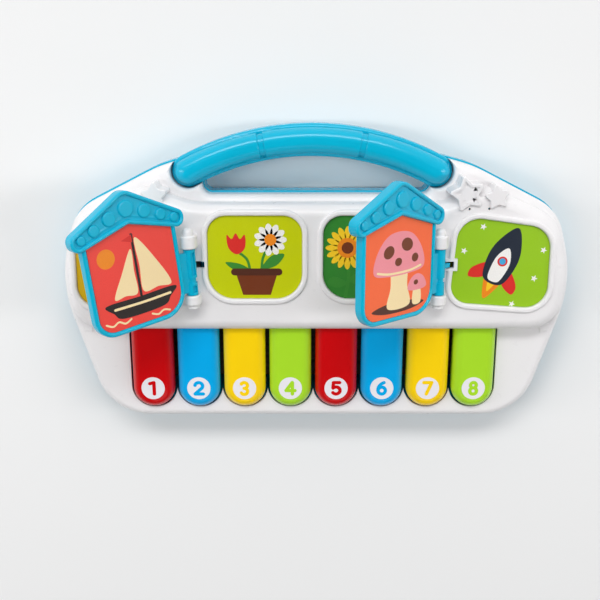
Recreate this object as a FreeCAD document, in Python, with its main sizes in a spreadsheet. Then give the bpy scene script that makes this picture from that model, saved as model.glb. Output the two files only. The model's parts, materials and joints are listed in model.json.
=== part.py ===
import FreeCAD, Part
import Sketcher
import math
import os
import re

# Toy piano lying on its back as it is played: +X to the player's right, +Y away from the player,
# +Z up out of the face. Millimetres and degrees.
# Heights are measured from the surface that the toy lies on.

sizes = {
    # Housing
    "body_width": 320,
    "body_depth": 190,
    "wall": 2.2,
    "foot_height": 2.5,
    "parting_height": 20,
    "deck_height": 31.5,
    "plateau_height": 46,
    "rim_step": 1,
    "back_edge_radius": 4,
    "deck_edge_radius": 5,
    "plateau_edge_radius": 8,
    "overrun": 5,
    # Carrying handle
    "handle_radius": 165,
    "handle_width": 20,
    "handle_bottom": 7,
    "handle_low_radius": 6,
    "handle_shift": 2.8,
    "flange_height": 6,
    "flange_radius": 2.2,
    "crown_width": 15.6,
    "crown_height": 14.5,
    "crown_radius": 7,
    "band_x": 31,
    "band_width": 3.2,
    "band_depth": 0.9,
    "band_edge_radius": 0.7,
    "handle_fit": 0.4,
    "notch_edge_radius": 2.4,
    "handle_post_radius": 3.4,
    # Windows and printed cards
    "window_shift": 2.6,
    "ring_width": 3.5,
    "ring_height": 1.6,
    "ring_edge_radius": 1.4,
    "card_recess": 1.1,
    "card_thickness": 0.6,
    "card_fit": 0.2,
    # Keys
    "key_shift": 1.8,
    "key_gap": 2.5,
    "key_margin": 9.2,
    "key_end_flat": 0.2,
    "key_low": 29,
    "key_top": 38,
    "key_edge_radius": 6.2,
    "key_wall": 2,
    "key_tail": 6,
    "key_tail_radius": 1.5,
    "key_well_lap": 0.15,
    "key_well_top": 40.5,
    "axle_height": 33,
    "axle_radius": 1.5,
    "axle_fit": 0.06,
    "axle_hold": 0.02,
    "rib_thickness": 2,
    "rib_fit": 0.35,
    "rib_width": 10,
    "rib_drop": 4,
    # Rubber domes and board
    "pusher_length": 6,
    "pusher_width": 5,
    "dome_radius": 6,
    "dome_top_radius": 3.8,
    "dome_height": 6.5,
    "dome_wall": 1.1,
    "board_margin": 2,
    "board_width": 34,
    "board_thickness": 1.6,
    "board_top": 20,
    "board_post_inset": 6,
    "board_post_step": 24,
    "board_post_radius": 3,
    "chip_radius": 4.5,
    "chip_top_radius": 3,
    "chip_height": 1.8,
    "chip_offset": 11,
    # Screws
    "screw_radius": 1.4,
    "screw_fit": 0.05,
    "screw_clear": 0.25,
    "screw_head_radius": 2.8,
    "screw_head_height": 2,
    "screw_sink": 1.6,
    "screw_bite": 8,
    "post_radius": 3.6,
    "sink_fit": 0.4,
    # Doors and hinges
    "hinge_rise": 6.6,
    "hinge_lean_angle_left": 3,
    "hinge_lean_angle_right": 0,
    "door_open_angle": 41,
    "door_turn_angle_left": 4.5,
    "door_turn_angle_right": 0,
    "door_gap": 7.5,
    "door_low": 24.5,
    "door_shoulder": 34,
    "door_peak": 44,
    "door_free_radius": 12,
    "door_hinge_radius": 16,
    "door_thickness": 6.4,
    "door_rim": 2.8,
    "door_recess": 1.5,
    "door_edge_radius": 1.3,
    "roof_overhang": 6.05,
    "roof_peak": 57.4,
    "roof_peak_radius": 8,
    "roof_eave_top": 37.2,
    "roof_eave_low": 26.8,
    "roof_eave_radius": 5,
    "roof_inner_peak": 37.4,
    "roof_inner_radius": 2,
    "roof_rise": 4.4,
    "roof_rim": 2.6,
    "roof_recess": 1.4,
    "roof_edge_radius": 1.2,
    "disc_height": 1.2,
    "disc_edge_radius": 1,
    "disc_radius": 4.9,
    "barrel_radius": 3.6,
    "barrel_top": 12.5,
    "barrel_low": 15.6,
    "barrel_neck_top": 5,
    "barrel_neck_low": 8,
    "barrel_neck_radius": 2.9,
    "barrel_fit": 0.3,
    "barrel_web": 3,
    "pocket_width": 3,
    "pocket_floor": 2.1,
    "pocket_margin": 1.8,
    "tab_dip": 0.5,
    "tab_width": 2.5,
    "tab_thickness": 2.6,
    "tab_y": 1.5,
    "tab_turn_angle_left": 49,
    "tab_turn_angle_right": 0,
    "knuckle_radius": 4.9,
    "knuckle_top": 20.6,
    "knuckle_low": 22,
    "knuckle_edge_radius": 0.9,
    "pin_radius": 1.5,
    "pin_fit": 0.06,
    "pin_hold": 0.02,
    "pin_head_radius": 3.3,
    "pin_head_height": 4.6,
    "pin_head_round": 2.6,
    "stub_radius": 3.6,
    "stub_height": 1.9,
    # Door switches and the slots of their tabs
    "slot_width": 4.2,
    "slot_near": 7.8,
    "slot_far": 9.9,
    "bracket_start": 4.6,
    "bracket_end": 12,
    "bracket_width": 7.4,
    "switch_length": 9,
    "switch_width": 7,
    "switch_height": 4,
    "switch_fit": 0.4,
    "switch_rib": 1.5,
    "switch_rib_drop": 4.2,
    # Raised stars
    "big_star_turn_angle": 14,
    "plain_star_turn_angle": 0,
    "second_star_turn_angle": 10,
    "small_star_turn_angle": 12,
    "big_star_radius": 11.8,
    "plain_star_radius": 9.2,
    "second_star_radius": 8.6,
    "small_star_radius": 4.6,
    "star_tip_radius": 1.3,
    "small_star_tip_radius": 0.5,
    "star_height": 1.8,
    "small_star_height": 0.8,
    "small_star_edge_radius": 0.25,
    "star_edge_radius": 0.7,
    "star_rim": 1.9,
    "star_recess": 0.8,
    "mark_radius": 1.7,
    "mark_round": 0.3,
    "mark_circle": 5.2,
    "mark_first_angle": 32,
    "mark_depth": 0.5,
    "sound_hole_radius": 0.75,
    # Speaker and lamp
    "speaker_radius": 13,
    "speaker_rim": 1.6,
    "speaker_depth": 9,
    "speaker_throat": 7,
    "magnet_radius": 8.5,
    "magnet_height": 5,
    "cone_wall": 0.5,
    "cone_radius": 10.6,
    "cone_depth": 5,
    "collar_wall": 1.5,
    "collar_height": 4,
    "collar_fit": 0.2,
    "lamp_radius": 2.5,
    "lamp_length": 6,
    "lamp_fit": 0.1,
    # Batteries and their compartment
    "cell_radius": 7.1,
    "cell_length": 49.2,
    "cell_pitch": 14.8,
    "nub_radius": 2.7,
    "nub_length": 1.2,
    "bay_length": 56,
    "bay_width": 46,
    "bay_setback": 11.3,
    "bay_wall": 2,
    "bay_headroom": 0.4,
    "contact_thickness": 0.5,
    "contact_size": 11,
    "lid_thickness": 2,
    "lid_fit": 0.3,
    "tongue_length": 10,
    "tongue_reach": 7,
    "lid_screw_length": 7.5,
    # Power switch on the back
    "knob_length": 7,
    "knob_width": 4,
    "knob_stem_length": 4,
    "knob_travel": 3,
    "knob_proud": 1.4,
    "knob_fit": 0.3,
    "power_length": 16,
    "power_width": 8,
    "power_height": 6,
    # Rubber feet
    "foot_radius": 7,
    "foot_sink": 0.8,
    "foot_fit": 0.2,
    "foot_edge_radius": 0.8,
}

# Outline corners as shares of the body width, of the body depth, and of the depth for the corner radius.
# Each table gives the right half, from the player's edge round to the handle.
housing_shares = [
    (0.4228, -0.5, 0.19),
    (0.5127, -0.021, 0.44),
    (0.4727, 0.2253, 0.168),
    (0.303, 0.37, 0.42),
    (0.2188, 0.408, 0.042),
    (0.2188, 0.2805, 0.026),
]
plateau_shares = [
    (0.4734, -0.1653, 0.105),
    (0.485, 0.021, 0.316),
    (0.4597, 0.2068, 0.132),
    (0.325, 0.308, 0.053),
    (0.2375, 0.2537, 0.21),
]
inner_window_shares = [
    (0.0088, -0.0716, 0.103),
    (0.2113, -0.0716, 0.103),
    (0.2113, 0.2374, 0.08),
    (0.0088, 0.2374, 0.08),
]
outer_window_shares = [
    (0.2513, -0.0826, 0.079),
    (0.464, -0.1079, 0.09),
    (0.462, 0.1937, 0.095),
    (0.2666, 0.24, 0.09),
]
# Places as shares of the body width and depth.
big_star_shares = (0.2811, 0.2876)
plain_star_shares = (-0.3055, 0.282)
second_star_shares = (0.3364, 0.2783)
small_star_shares = (0.4545, -0.1705)
sound_hole_shares = [(0.2862, 0.2396), (0.3232, 0.2406)]
housing_screw_shares = [(0.409, -0.326), (0.447, 0.026), (0.172, 0.237)]
foot_shares = [(0.345, -0.395), (0.372, 0.18)]
speaker_shares = (0.3172, 0.1537)
power_shares = (-0.21875, 0.1263)
hinge_left_share = -0.23844
hinge_right_share = 0.23
hinge_y_share = 0.05263
handle_end_share = 0.2397
key_pitch_share = 0.0921875
axle_share = 0.06316
pusher_share = 0.2632
board_share = 0.2737
door_width_share = 0.19
# Roof discs: place along the half roof, place across it from the lower edge, and radius.
disc_shares = [(0, 0.44, 1), (0.31, 0.5, 0.86), (0.59, 0.5, 0.72), (0.82, 0.5, 0.58)]
star_waist_share = 0.56
# Smallest distance that counts as a difference when edges are picked.
near = 1e-4

document = FreeCAD.newDocument("toy_piano")
sheet = document.addObject("Spreadsheet::Sheet", "Dim")
for row, (alias, number) in enumerate(sizes.items(), start=1):
    sheet.set(f"A{row}", alias)
    sheet.set(f"B{row}", str(number))
    sheet.setAlias(f"B{row}", alias)
document.recompute()

along_x = FreeCAD.Rotation(FreeCAD.Vector(0, 1, 0), 90)
along_y = FreeCAD.Rotation(FreeCAD.Vector(1, 0, 0), -90)
upright = FreeCAD.Rotation(FreeCAD.Vector(1, 0, 0), 90)
sides = {"left": -1, "right": 1}
finished = {}


# Formulas name the sizes, and the sizes below follow from others. These helpers tie them to the sheet.

def across(share):
    return f"{share} * body_width"


def along(share):
    return f"{share} * body_depth"


following = {
    "handle_end_x": across(handle_end_share),
    "key_pitch": across(key_pitch_share),
    "key_width": "key_pitch - key_gap",
    "key_end_radius": "key_width / 2 - key_end_flat",
    "key_front_y": "body_depth / 2 - key_margin",
    "key_well_fit": "key_gap / 2 + key_well_lap",
    "axle_y": along(axle_share),
    "pusher_y": along(pusher_share),
    "board_y": along(board_share),
    "board_length": "7 * key_pitch + key_width + 2 * board_margin",
    "board_post_x": "board_length / 2 - board_post_inset",
    "chip_y": "board_y + chip_offset",
    "hinge_height": "plateau_height + hinge_rise",
    "hinge_x_left": across(hinge_left_share),
    "hinge_x_right": across(hinge_right_share),
    "hinge_y": along(hinge_y_share),
    "tab_reach": "hinge_rise + wall + tab_dip",
    "door_width": across(door_width_share),
    "roof_half_width": "door_width / 2 + roof_overhang",
    "speaker_x": across(speaker_shares[0]),
    "speaker_y": along(speaker_shares[1]),
    "bay_y": f"{along(housing_shares[-1][1])} - bay_setback - bay_width / 2",
    "power_x": across(power_shares[0]),
    "power_y": along(power_shares[1]),
}


def in_sheet(formula):
    def prefix(word):
        name = word.group()
        if name in following:
            return "(" + in_sheet(following[name]) + ")"
        return "Dim." + name if name in sizes else name
    return re.sub(r"[a-z]\w*", prefix, str(formula))


def value(formula):
    result = sheet.evalExpression(in_sheet(formula))
    return float(getattr(result, "Value", result))


def bind(thing, formulas):
    for path, formula in formulas.items():
        thing.setExpression(path, in_sheet(formula))


def place(thing, x="0", y="0", z="0", turn=None):
    if turn is not None:
        thing.Placement = FreeCAD.Placement(FreeCAD.Vector(), turn)
    bind(thing, {"Placement.Base.x": x, "Placement.Base.y": y, "Placement.Base.z": z})
    return thing


def finish(name, thing):
    thing.Label = name
    finished[name] = thing
    return thing


# Basic solids

def box(name, size, x, y, bottom):
    length, width, height = size
    thing = document.addObject("Part::Box", name)
    bind(thing, {"Length": length, "Width": width, "Height": height})
    return place(thing, f"{x} - ({length}) / 2", f"{y} - ({width}) / 2", bottom)


def rod(name, radius, height, x, y, z, turn=None):
    thing = document.addObject("Part::Cylinder", name)
    bind(thing, {"Radius": radius, "Height": height})
    return place(thing, x, y, z, turn)


def cone(name, low_radius, high_radius, height, x, y, z):
    thing = document.addObject("Part::Cone", name)
    bind(thing, {"Radius1": low_radius, "Radius2": high_radius, "Height": height})
    return place(thing, x, y, z)


def outline(name, corners, holder=document):
    # A closed sketch of straight edges with rounded corners. Corners run anticlockwise as
    # (x formula, y formula, radius formula), and a radius of 0 leaves the corner sharp.
    create = getattr(holder, "newObject", None) or holder.addObject
    sketch = create("Sketcher::SketchObject", name)
    points = [FreeCAD.Vector(value(x), value(y), 0) for x, y, _ in corners]
    radii = [value(radius) for _, _, radius in corners]
    count = len(corners)
    arcs, starts, ends = [], [], []
    for index, point in enumerate(points):
        back = (points[index - 1] - point).normalize()
        ahead = (points[(index + 1) % count] - point).normalize()
        half_angle = back.getAngle(ahead) / 2
        reach = radii[index] / math.tan(half_angle)
        starts.append(point + back * reach)
        ends.append(point + ahead * reach)
        if radii[index]:
            bisector = (back + ahead).normalize()
            middle = point + bisector * (radii[index] / math.sin(half_angle) - radii[index])
            arcs.append(Part.Arc(starts[-1], middle, ends[-1]))
        else:
            arcs.append(None)
    lines = [Part.LineSegment(ends[i], starts[(i + 1) % count]) for i in range(count)]
    sketch.addGeometry(lines, False)
    rules, driven = [], []
    for index, (x, y, radius) in enumerate(corners):
        before, after = (index - 1) % count, index
        if arcs[index] is None:
            rules.append(Sketcher.Constraint("Coincident", before, 2, after, 1))
            corner, corner_end = after, 1
        else:
            arc = sketch.addGeometry(arcs[index], False)
            corner = sketch.addGeometry(Part.Point(points[index]), True)
            corner_end = 1
            forward = (sketch.getPoint(arc, 1) - starts[index]).Length < near
            first, last = (1, 2) if forward else (2, 1)
            rules.append(Sketcher.Constraint("Tangent", before, 2, arc, first))
            rules.append(Sketcher.Constraint("Tangent", arc, last, after, 1))
            rules.append(Sketcher.Constraint("PointOnObject", corner, 1, before))
            rules.append(Sketcher.Constraint("PointOnObject", corner, 1, after))
            driven.append((Sketcher.Constraint("Radius", arc, radii[index]), radius))
        across = Sketcher.Constraint("DistanceX", -1, 1, corner, corner_end, points[index].x)
        along = Sketcher.Constraint("DistanceY", -1, 1, corner, corner_end, points[index].y)
        driven.extend([(across, x), (along, y)])
    sketch.addConstraint(rules + [rule for rule, _ in driven])
    for number, (_, formula) in enumerate(driven, start=len(rules)):
        sketch.setExpression(f"Constraints[{number}]", in_sheet(formula))
    document.recompute()
    return sketch


def prism(name, profile, bottom, height):
    thing = document.addObject("Part::Extrusion", name)
    thing.Base = profile
    thing.DirMode = "Custom"
    thing.Dir = FreeCAD.Vector(0, 0, 1)
    thing.Solid = True
    bind(thing, {"LengthFwd": height})
    return place(thing, z=bottom)


def inset(name, profile, distance):
    thing = document.addObject("Part::Offset2D", name)
    thing.Source = profile
    bind(thing, {"Value": f"-({distance})"})
    return thing


def turned(name, profile, center_x, center_y, angle):
    # Sweeps an upright profile round a vertical axis.
    thing = document.addObject("Part::Revolution", name)
    thing.Source = profile
    thing.Axis = FreeCAD.Vector(0, 0, 1)
    thing.Solid = True
    bind(thing, {"Base.x": center_x, "Base.y": center_y, "Angle": angle})
    return thing


def fuse(name, things):
    thing = document.addObject("Part::MultiFuse", name)
    thing.Shapes = things
    thing.Refine = True
    return thing


def shared(name, things):
    thing = document.addObject("Part::MultiCommon", name)
    thing.Shapes = things
    return thing


def cut(name, base, tools):
    thing = document.addObject("Part::Cut", name)
    thing.Base = base
    thing.Tool = tools[0] if len(tools) == 1 else fuse(name + "_tools", tools)
    thing.Refine = True
    return thing


def soften(name, base, radius, levels, axis="Z"):
    # Rounds the edges of a solid that lie flat at the given places along an axis.
    document.recompute()
    places = [value(level) for level in levels]
    chosen = []
    for number, edge in enumerate(base.Shape.Edges, start=1):
        low, high = getattr(edge.BoundBox, axis + "Min"), getattr(edge.BoundBox, axis + "Max")
        if any(abs(low - at) < near and abs(high - at) < near for at in places):
            chosen.append((number, value(radius), value(radius)))
    thing = document.addObject("Part::Fillet", name)
    thing.Base = base
    thing.Edges = chosen
    return thing


def group(name, things):
    thing = document.addObject("Part::Compound", name)
    thing.Links = things
    return finish(name, thing)


def both_halves(shares):
    right = [(across(x), along(y), along(radius)) for x, y, radius in shares]
    left = [(across(-x), along(y), along(radius)) for x, y, radius in reversed(shares)]
    return right + left


def one_window(shares, side):
    corners = [(f"{across(side * x)} - window_shift", along(y), along(radius)) for x, y, radius in shares]
    return corners if side > 0 else corners[::-1]


def star(name, radius, tip_radius, turn):
    corners = []
    for index in range(10):
        angle = math.radians(90 + value(turn) + 36 * index)
        reach = 1 if index % 2 == 0 else star_waist_share
        x, y = reach * math.cos(angle), reach * math.sin(angle)
        corners.append((f"{x} * {radius}", f"{y} * {radius}", tip_radius))
    return outline(name, corners)


# Places that several pieces share
floor_top = "(foot_height + wall)"
deck_under = "(deck_height - wall)"
plateau_under = "(plateau_height - wall)"
card_floor = "(plateau_height - card_recess)"
ring_top = "(plateau_height + ring_height)"
handle_y = "(body_depth / 2 - handle_width / 2 - handle_radius)"
handle_angle = "(asin(handle_end_x / handle_radius) / 1 deg)"
handle_end_y = f"({handle_y} + sqrt(handle_radius ^ 2 - handle_end_x ^ 2))"
handle_end_places = {name: f"({side} * handle_end_x - handle_shift)" for name, side in sides.items()}
housing_screw_places = [(side * x, y) for x, y in housing_screw_shares for side in sides.values()]
screw_length = "(parting_height - foot_height - screw_sink - screw_head_height + screw_bite)"
key_places = [f"({index - 3.5} * key_pitch - key_shift)" for index in range(8)]
key_tail_y = "(axle_y + key_tail)"
key_span = "(7 * key_pitch + key_width)"
bay_top = f"({floor_top} + 2 * cell_radius + 2 * bay_headroom)"
bay_back = "(bay_y + bay_width / 2)"

housing_outline = outline("housing_outline", both_halves(housing_shares))
plateau_outline = outline("plateau_outline", both_halves(plateau_shares))
housing_inside = inset("housing_inside", housing_outline, "wall")
front_outline = inset("front_outline", housing_outline, "rim_step")
front_inside = inset("front_inside", housing_outline, "rim_step + wall")
plateau_inside = inset("plateau_inside", plateau_outline, "wall")


# Handle: an arch with round ends, built up in layers

def handle_profile(name, half_width, bottom, top, low_radius, high_radius, start, half=False):
    near = "0" if half else f"-({half_width})"
    corners = [
        (near, bottom, "0" if half else low_radius),
        (half_width, bottom, low_radius),
        (half_width, top, high_radius),
        (near, top, "0" if half else high_radius),
    ]
    profile = outline(name, corners)
    turn = FreeCAD.Rotation(FreeCAD.Vector(0, 0, 1), start) * upright
    profile.Placement = FreeCAD.Placement(FreeCAD.Vector(), turn)
    return profile


def handle_arc(name, half_width, bottom, top, low_radius, high_radius, first, last):
    # A stretch of the arch between two angles, measured from the +X direction.
    shape = (half_width, bottom, top, low_radius, high_radius)
    profile = handle_profile(name + "_profile", *shape, value(first))
    place(profile, f"handle_radius * cos({first}) - handle_shift",
          f"{handle_y} + handle_radius * sin({first})")
    return turned(name, profile, "-handle_shift", handle_y, f"{last} - ({first})")


def round_ends(name, base, angles):
    # Rounds the edges of a stretch of the arch that lie in its end planes, above the parting.
    document.recompute()
    radius, parting = value("band_edge_radius"), value("parting_height")
    middle = FreeCAD.Vector(value("-handle_shift"), value(handle_y), 0)
    ways = [FreeCAD.Rotation(FreeCAD.Vector(0, 0, 1), value(angle)).multVec(FreeCAD.Vector(0, 1, 0))
            for angle in angles]
    chosen = []
    for number, edge in enumerate(base.Shape.Edges, start=1):
        points = edge.discretize(3)
        in_plane = any(all(abs((point - middle).dot(way)) < near for point in points) for way in ways)
        if in_plane and edge.BoundBox.ZMax - parting > near:
            chosen.append((number, radius, radius))
    thing = document.addObject("Part::Fillet", name)
    thing.Base = base
    thing.Edges = chosen
    return thing


def handle_end(name, half_width, bottom, top, low_radius, high_radius, side_name):
    side, x = sides[side_name], handle_end_places[side_name]
    angle = value(f"90 - {side} * {handle_angle}") + (180 if side > 0 else 0)
    profile = handle_profile(name + "_profile", half_width, bottom, top, low_radius, high_radius, angle, True)
    place(profile, x, handle_end_y)
    return turned(name, profile, x, handle_end_y, "180")


def handle_layer(name, half_width, bottom, top, low_radius="0", high_radius="0", breaks=()):
    limits = [f"90 - {handle_angle}", *breaks, f"90 + {handle_angle}"]
    shape = (half_width, bottom, top, low_radius, high_radius)
    pieces = []
    for number in range(0, len(limits), 2):
        arc = handle_arc(f"{name}_arc_{number}", *shape, limits[number], limits[number + 1])
        if breaks:
            open_ends = [limit for limit in limits[number:number + 2] if limit in breaks]
            arc = round_ends(f"{name}_round_{number}", arc, open_ends)
        pieces.append(arc)
    for side_name in sides:
        pieces.append(handle_end(f"{name}_end_{side_name}", *shape, side_name))
    return fuse(name, pieces)


handle_half = "handle_width / 2"
crown_half = "crown_width / 2"
crown_top = "(parting_height + crown_height)"
band_edges = [f"(asin((band_x {sign} band_width / 2) / handle_radius) / 1 deg)" for sign in ("+", "-")]
band_breaks = [f"90 - {band_edges[0]}", f"90 - {band_edges[1]}",
               f"90 + {band_edges[1]}", f"90 + {band_edges[0]}"]

handle_rear = handle_layer("handle_rear", handle_half, "handle_bottom", "parting_height", "handle_low_radius")
rear_hollow = handle_layer(
    "handle_rear_hollow", f"{handle_half} - wall", "handle_bottom + wall", "parting_height + overrun",
    "handle_low_radius - wall")
flange = handle_layer(
    "handle_flange", handle_half, "parting_height", "parting_height + flange_height", "0", "flange_radius")
crown_low = handle_layer(
    "handle_crown_low", f"{crown_half} - band_depth", "parting_height", f"{crown_top} - band_depth", "0",
    "crown_radius - band_depth")
crown_high = handle_layer(
    "handle_crown_high", crown_half, "parting_height", crown_top, "0", "crown_radius", band_breaks)
cover_hollow = handle_layer(
    "handle_cover_hollow", f"{crown_half} - band_depth - wall", "parting_height - overrun",
    f"{crown_top} - band_depth - wall", "0", "crown_radius - band_depth - wall")
cover_solid = fuse("handle_cover_solid", [flange, crown_low, crown_high])
cover_shell = cut("handle_cover_shell", cover_solid, [cover_hollow])
cover_posts = [
    rod(f"cover_post_{name}", "handle_post_radius", "crown_height - wall", x, handle_end_y, "parting_height")
    for name, x in handle_end_places.items()
]
cover_holes = [
    rod(f"cover_hole_{name}", "screw_radius + screw_fit", "screw_bite + overrun", x, handle_end_y,
        "parting_height - overrun")
    for name, x in handle_end_places.items()
]
cover_posted = fuse("handle_cover_posted", [cover_shell, *cover_posts])
finish("handle_cover", cut("handle_cover", cover_posted, cover_holes))


# Back shell: tray, rear half of the handle, posts, battery compartment

def battery_lid_outline(name, fit):
    # The lid with its screw tongue at the back edge.
    half, low, high = f"(bay_length / 2 - {fit})", f"(bay_y - bay_width / 2 + {fit})", f"({bay_back} - {fit})"
    tongue, reach = f"(tongue_length / 2 - {fit})", f"({bay_back} + tongue_reach - {fit})"
    corners = [
        (f"-{half}", low), (half, low), (half, high), (tongue, high),
        (tongue, reach), (f"-{tongue}", reach), (f"-{tongue}", high), (f"-{half}", high),
    ]
    return outline(name, [(x, y, "0") for x, y in corners])


tongue_screw_y = f"({bay_back} + tongue_reach / 2)"
back_block = prism("back_block", housing_outline, "foot_height", "parting_height - foot_height")
back_round = soften("back_round", back_block, "back_edge_radius", ["foot_height"])
back_cavity = prism("back_cavity", housing_inside, floor_top, "parting_height - foot_height")
back_tray = cut("back_tray", fuse("back_solid", [back_round, handle_rear]), [back_cavity, rear_hollow])

back_posts = []
back_cuts = []
below_back = "foot_height - overrun"
sink_depth = "screw_sink + screw_head_height + overrun"
post_bottom, post_height = "foot_height + wall / 2", "parting_height - foot_height - wall / 2"
for number, (x, y) in enumerate(housing_screw_places, start=1):
    back_posts.append(rod(f"back_post_{number}", "post_radius", post_height, across(x), along(y),
                          post_bottom))
    back_cuts.append(rod(f"back_hole_{number}", "screw_radius + screw_clear", "parting_height + 2 * overrun",
                         across(x), along(y), below_back))
    back_cuts.append(rod(f"back_sink_{number}", "screw_head_radius + sink_fit", sink_depth,
                         across(x), along(y), below_back))
for name, x in handle_end_places.items():
    back_posts.append(rod(f"handle_post_{name}", "handle_post_radius", post_height, x, handle_end_y,
                          post_bottom))
    back_cuts.append(rod(f"handle_hole_{name}", "screw_radius + screw_clear", "parting_height + overrun",
                         x, handle_end_y, "foot_height"))
    back_cuts.append(rod(f"handle_sink_{name}", "screw_head_radius + sink_fit", sink_depth,
                         x, handle_end_y, below_back))

board_under = "(board_top - board_thickness)"
board_post_places = [
    (f"({side} * board_post_x - key_shift)", f"-board_y + {end} * board_post_step / 2")
    for side in (-1, 1) for end in (-1, 1)
]
for number, (x, y) in enumerate(board_post_places, start=1):
    back_posts.append(rod(f"board_post_{number}", "board_post_radius",
                          f"{board_under} - foot_height - wall / 2", x, y, post_bottom))
    back_cuts.append(rod(f"board_post_hole_{number}", "screw_radius + screw_fit", "screw_bite + overrun",
                         x, y, f"{board_under} - screw_bite"))

bay_size = ("bay_length + 2 * bay_wall", "bay_width + 2 * bay_wall",
            f"{bay_top} + bay_wall - foot_height - wall / 2")
bay_outer = box("bay_outer", bay_size, "0", "bay_y", post_bottom)
bay_inner = box("bay_inner", ("bay_length", "bay_width", f"{bay_top} - foot_height + overrun"),
                "0", "bay_y", below_back)
tongue_post = rod("tongue_post", "post_radius", "screw_bite", "0", tongue_screw_y,
                  "foot_height + lid_thickness")
tongue_hole = rod("tongue_hole", "screw_radius + screw_fit", "screw_bite + overrun",
                  "0", tongue_screw_y, "foot_height")
lid_gap = prism("lid_gap", battery_lid_outline("lid_gap_outline", "0"), below_back,
                "lid_thickness + overrun")
lid_ledges = [
    box(f"lid_ledge_{name}", ("bay_wall", "bay_width", "bay_wall"),
        f"{side} * (bay_length / 2 - bay_wall / 2)", "bay_y", "foot_height + lid_thickness")
    for name, side in sides.items()
]

slot_size = ("knob_stem_length + 2 * knob_travel + 2 * knob_fit", "knob_width + 2 * knob_fit",
             "wall + 2 * overrun")
knob_slot = box("knob_slot", slot_size, "power_x", "power_y", below_back)
foot_places = [(side * x, y) for x, y in foot_shares for side in sides.values()]
for number, (x, y) in enumerate(foot_places, start=1):
    back_cuts.append(rod(f"foot_seat_{number}", "foot_radius + foot_fit", "foot_sink + overrun",
                         across(x), along(y), below_back))

back_filled = fuse("back_filled", [back_tray, *back_posts, bay_outer, tongue_post])
back_open = cut("back_open", back_filled, [*back_cuts, bay_inner, tongue_hole, lid_gap, knob_slot])
finish("back_shell", fuse("back_shell", [back_open, *lid_ledges]))


# Front shell: lower deck, raised plateau, window rings, key well

front_block = prism("front_block", front_outline, "parting_height", "deck_height - parting_height")
front_round = soften("front_round", front_block, "deck_edge_radius", ["deck_height"])
plateau_block = prism("plateau_block", plateau_outline, "parting_height", "plateau_height - parting_height")
plateau_round = soften("plateau_round", plateau_block, "plateau_edge_radius", ["plateau_height"])
notch_radius = f"({handle_half} + handle_fit)"
low_block = prism("low_block", front_inside, "parting_height - overrun",
                  f"{deck_under} - parting_height + overrun")
pocket_walls = [
    rod(f"pocket_wall_{name}", f"{notch_radius} + wall", "deck_height", x, handle_end_y,
        "parting_height - overrun")
    for name, x in handle_end_places.items()
]
low_cavity = cut("low_cavity", low_block, pocket_walls)
high_block = prism("high_block", plateau_inside, "parting_height - overrun",
                   f"{plateau_under} - parting_height + overrun")
high_cavity = soften("high_cavity", high_block, "plateau_edge_radius - wall", [plateau_under])

window_tables = [(outer_window_shares, -1), (inner_window_shares, -1),
                 (inner_window_shares, 1), (outer_window_shares, 1)]
rings, recesses, pictures = [], [], []
for number, (table, side) in enumerate(window_tables, start=1):
    ring_outline = outline(f"window_outline_{number}", one_window(table, side))
    picture = inset(f"picture_outline_{number}", ring_outline, "ring_width")
    ring_block = prism(f"ring_block_{number}", ring_outline, "plateau_height - plateau_edge_radius",
                       "plateau_edge_radius + ring_height")
    ring_hole = prism(f"ring_hole_{number}", picture, "plateau_height - overrun - plateau_edge_radius",
                      "plateau_edge_radius + 2 * overrun")
    ring = cut(f"ring_raw_{number}", ring_block, [ring_hole])
    rings.append(soften(f"ring_{number}", ring, "ring_edge_radius", [ring_top]))
    recesses.append(prism(f"recess_{number}", picture, card_floor, "card_recess + ring_height"))
    pictures.append(picture)


def key_outline(name, margin, holder=document):
    half, radius = f"(key_width / 2 + {margin})", f"(key_end_radius + {margin})"
    front, tail = f"(-key_front_y - ({margin}))", f"({key_tail_y} + {margin})"
    corners = [(f"-{half}", front, radius), (half, front, radius),
               (half, tail, "key_tail_radius"), (f"-{half}", tail, "key_tail_radius")]
    return outline(name, corners, holder)


well_outline = key_outline("key_well_outline", "key_well_fit")
wells = []
for number, x in enumerate(key_places, start=1):
    well = prism(f"key_well_{number}", well_outline, "parting_height - overrun",
                 "key_well_top - parting_height + overrun")
    wells.append(place(well, x, "0", "parting_height - overrun"))

notches = [handle_layer("handle_room", notch_radius, "parting_height - overrun", "deck_height + overrun")]
notch_low = "deck_height - 2 * notch_edge_radius"
notch_rim = f"({notch_radius} + notch_edge_radius + handle_fit)"
for name, x in handle_end_places.items():
    flare = outline(f"notch_profile_{name}", [
        ("0", notch_low, "0"), (notch_radius, notch_low, "0"),
        (notch_radius, "deck_height", "notch_edge_radius"), (notch_rim, "deck_height", "0"),
        (notch_rim, "deck_height + overrun", "0"), ("0", "deck_height + overrun", "0")])
    place(flare, x, handle_end_y, "0", upright)
    notches.append(turned(f"notch_flare_{name}", flare, x, handle_end_y, "360"))
front_solid = fuse("front_solid", [front_round, plateau_round])
front_ringed = fuse("front_ringed", [front_solid, *rings])
front_tray = cut("front_tray", front_ringed, [low_cavity, high_cavity, *recesses, *wells, *notches])


# Stars, sound holes, brackets, posts and ribs of the front shell

def raised_star(name, shares, radius, tip_radius, turn, bottom, height, edge_radius="star_edge_radius"):
    profile = star(name + "_outline", radius, tip_radius, turn)
    column = prism(name + "_column", profile, "0", height)
    solid = soften(name, column, edge_radius, [height])
    x, y = shares
    return place(solid, across(x), along(y), bottom), profile


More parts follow.
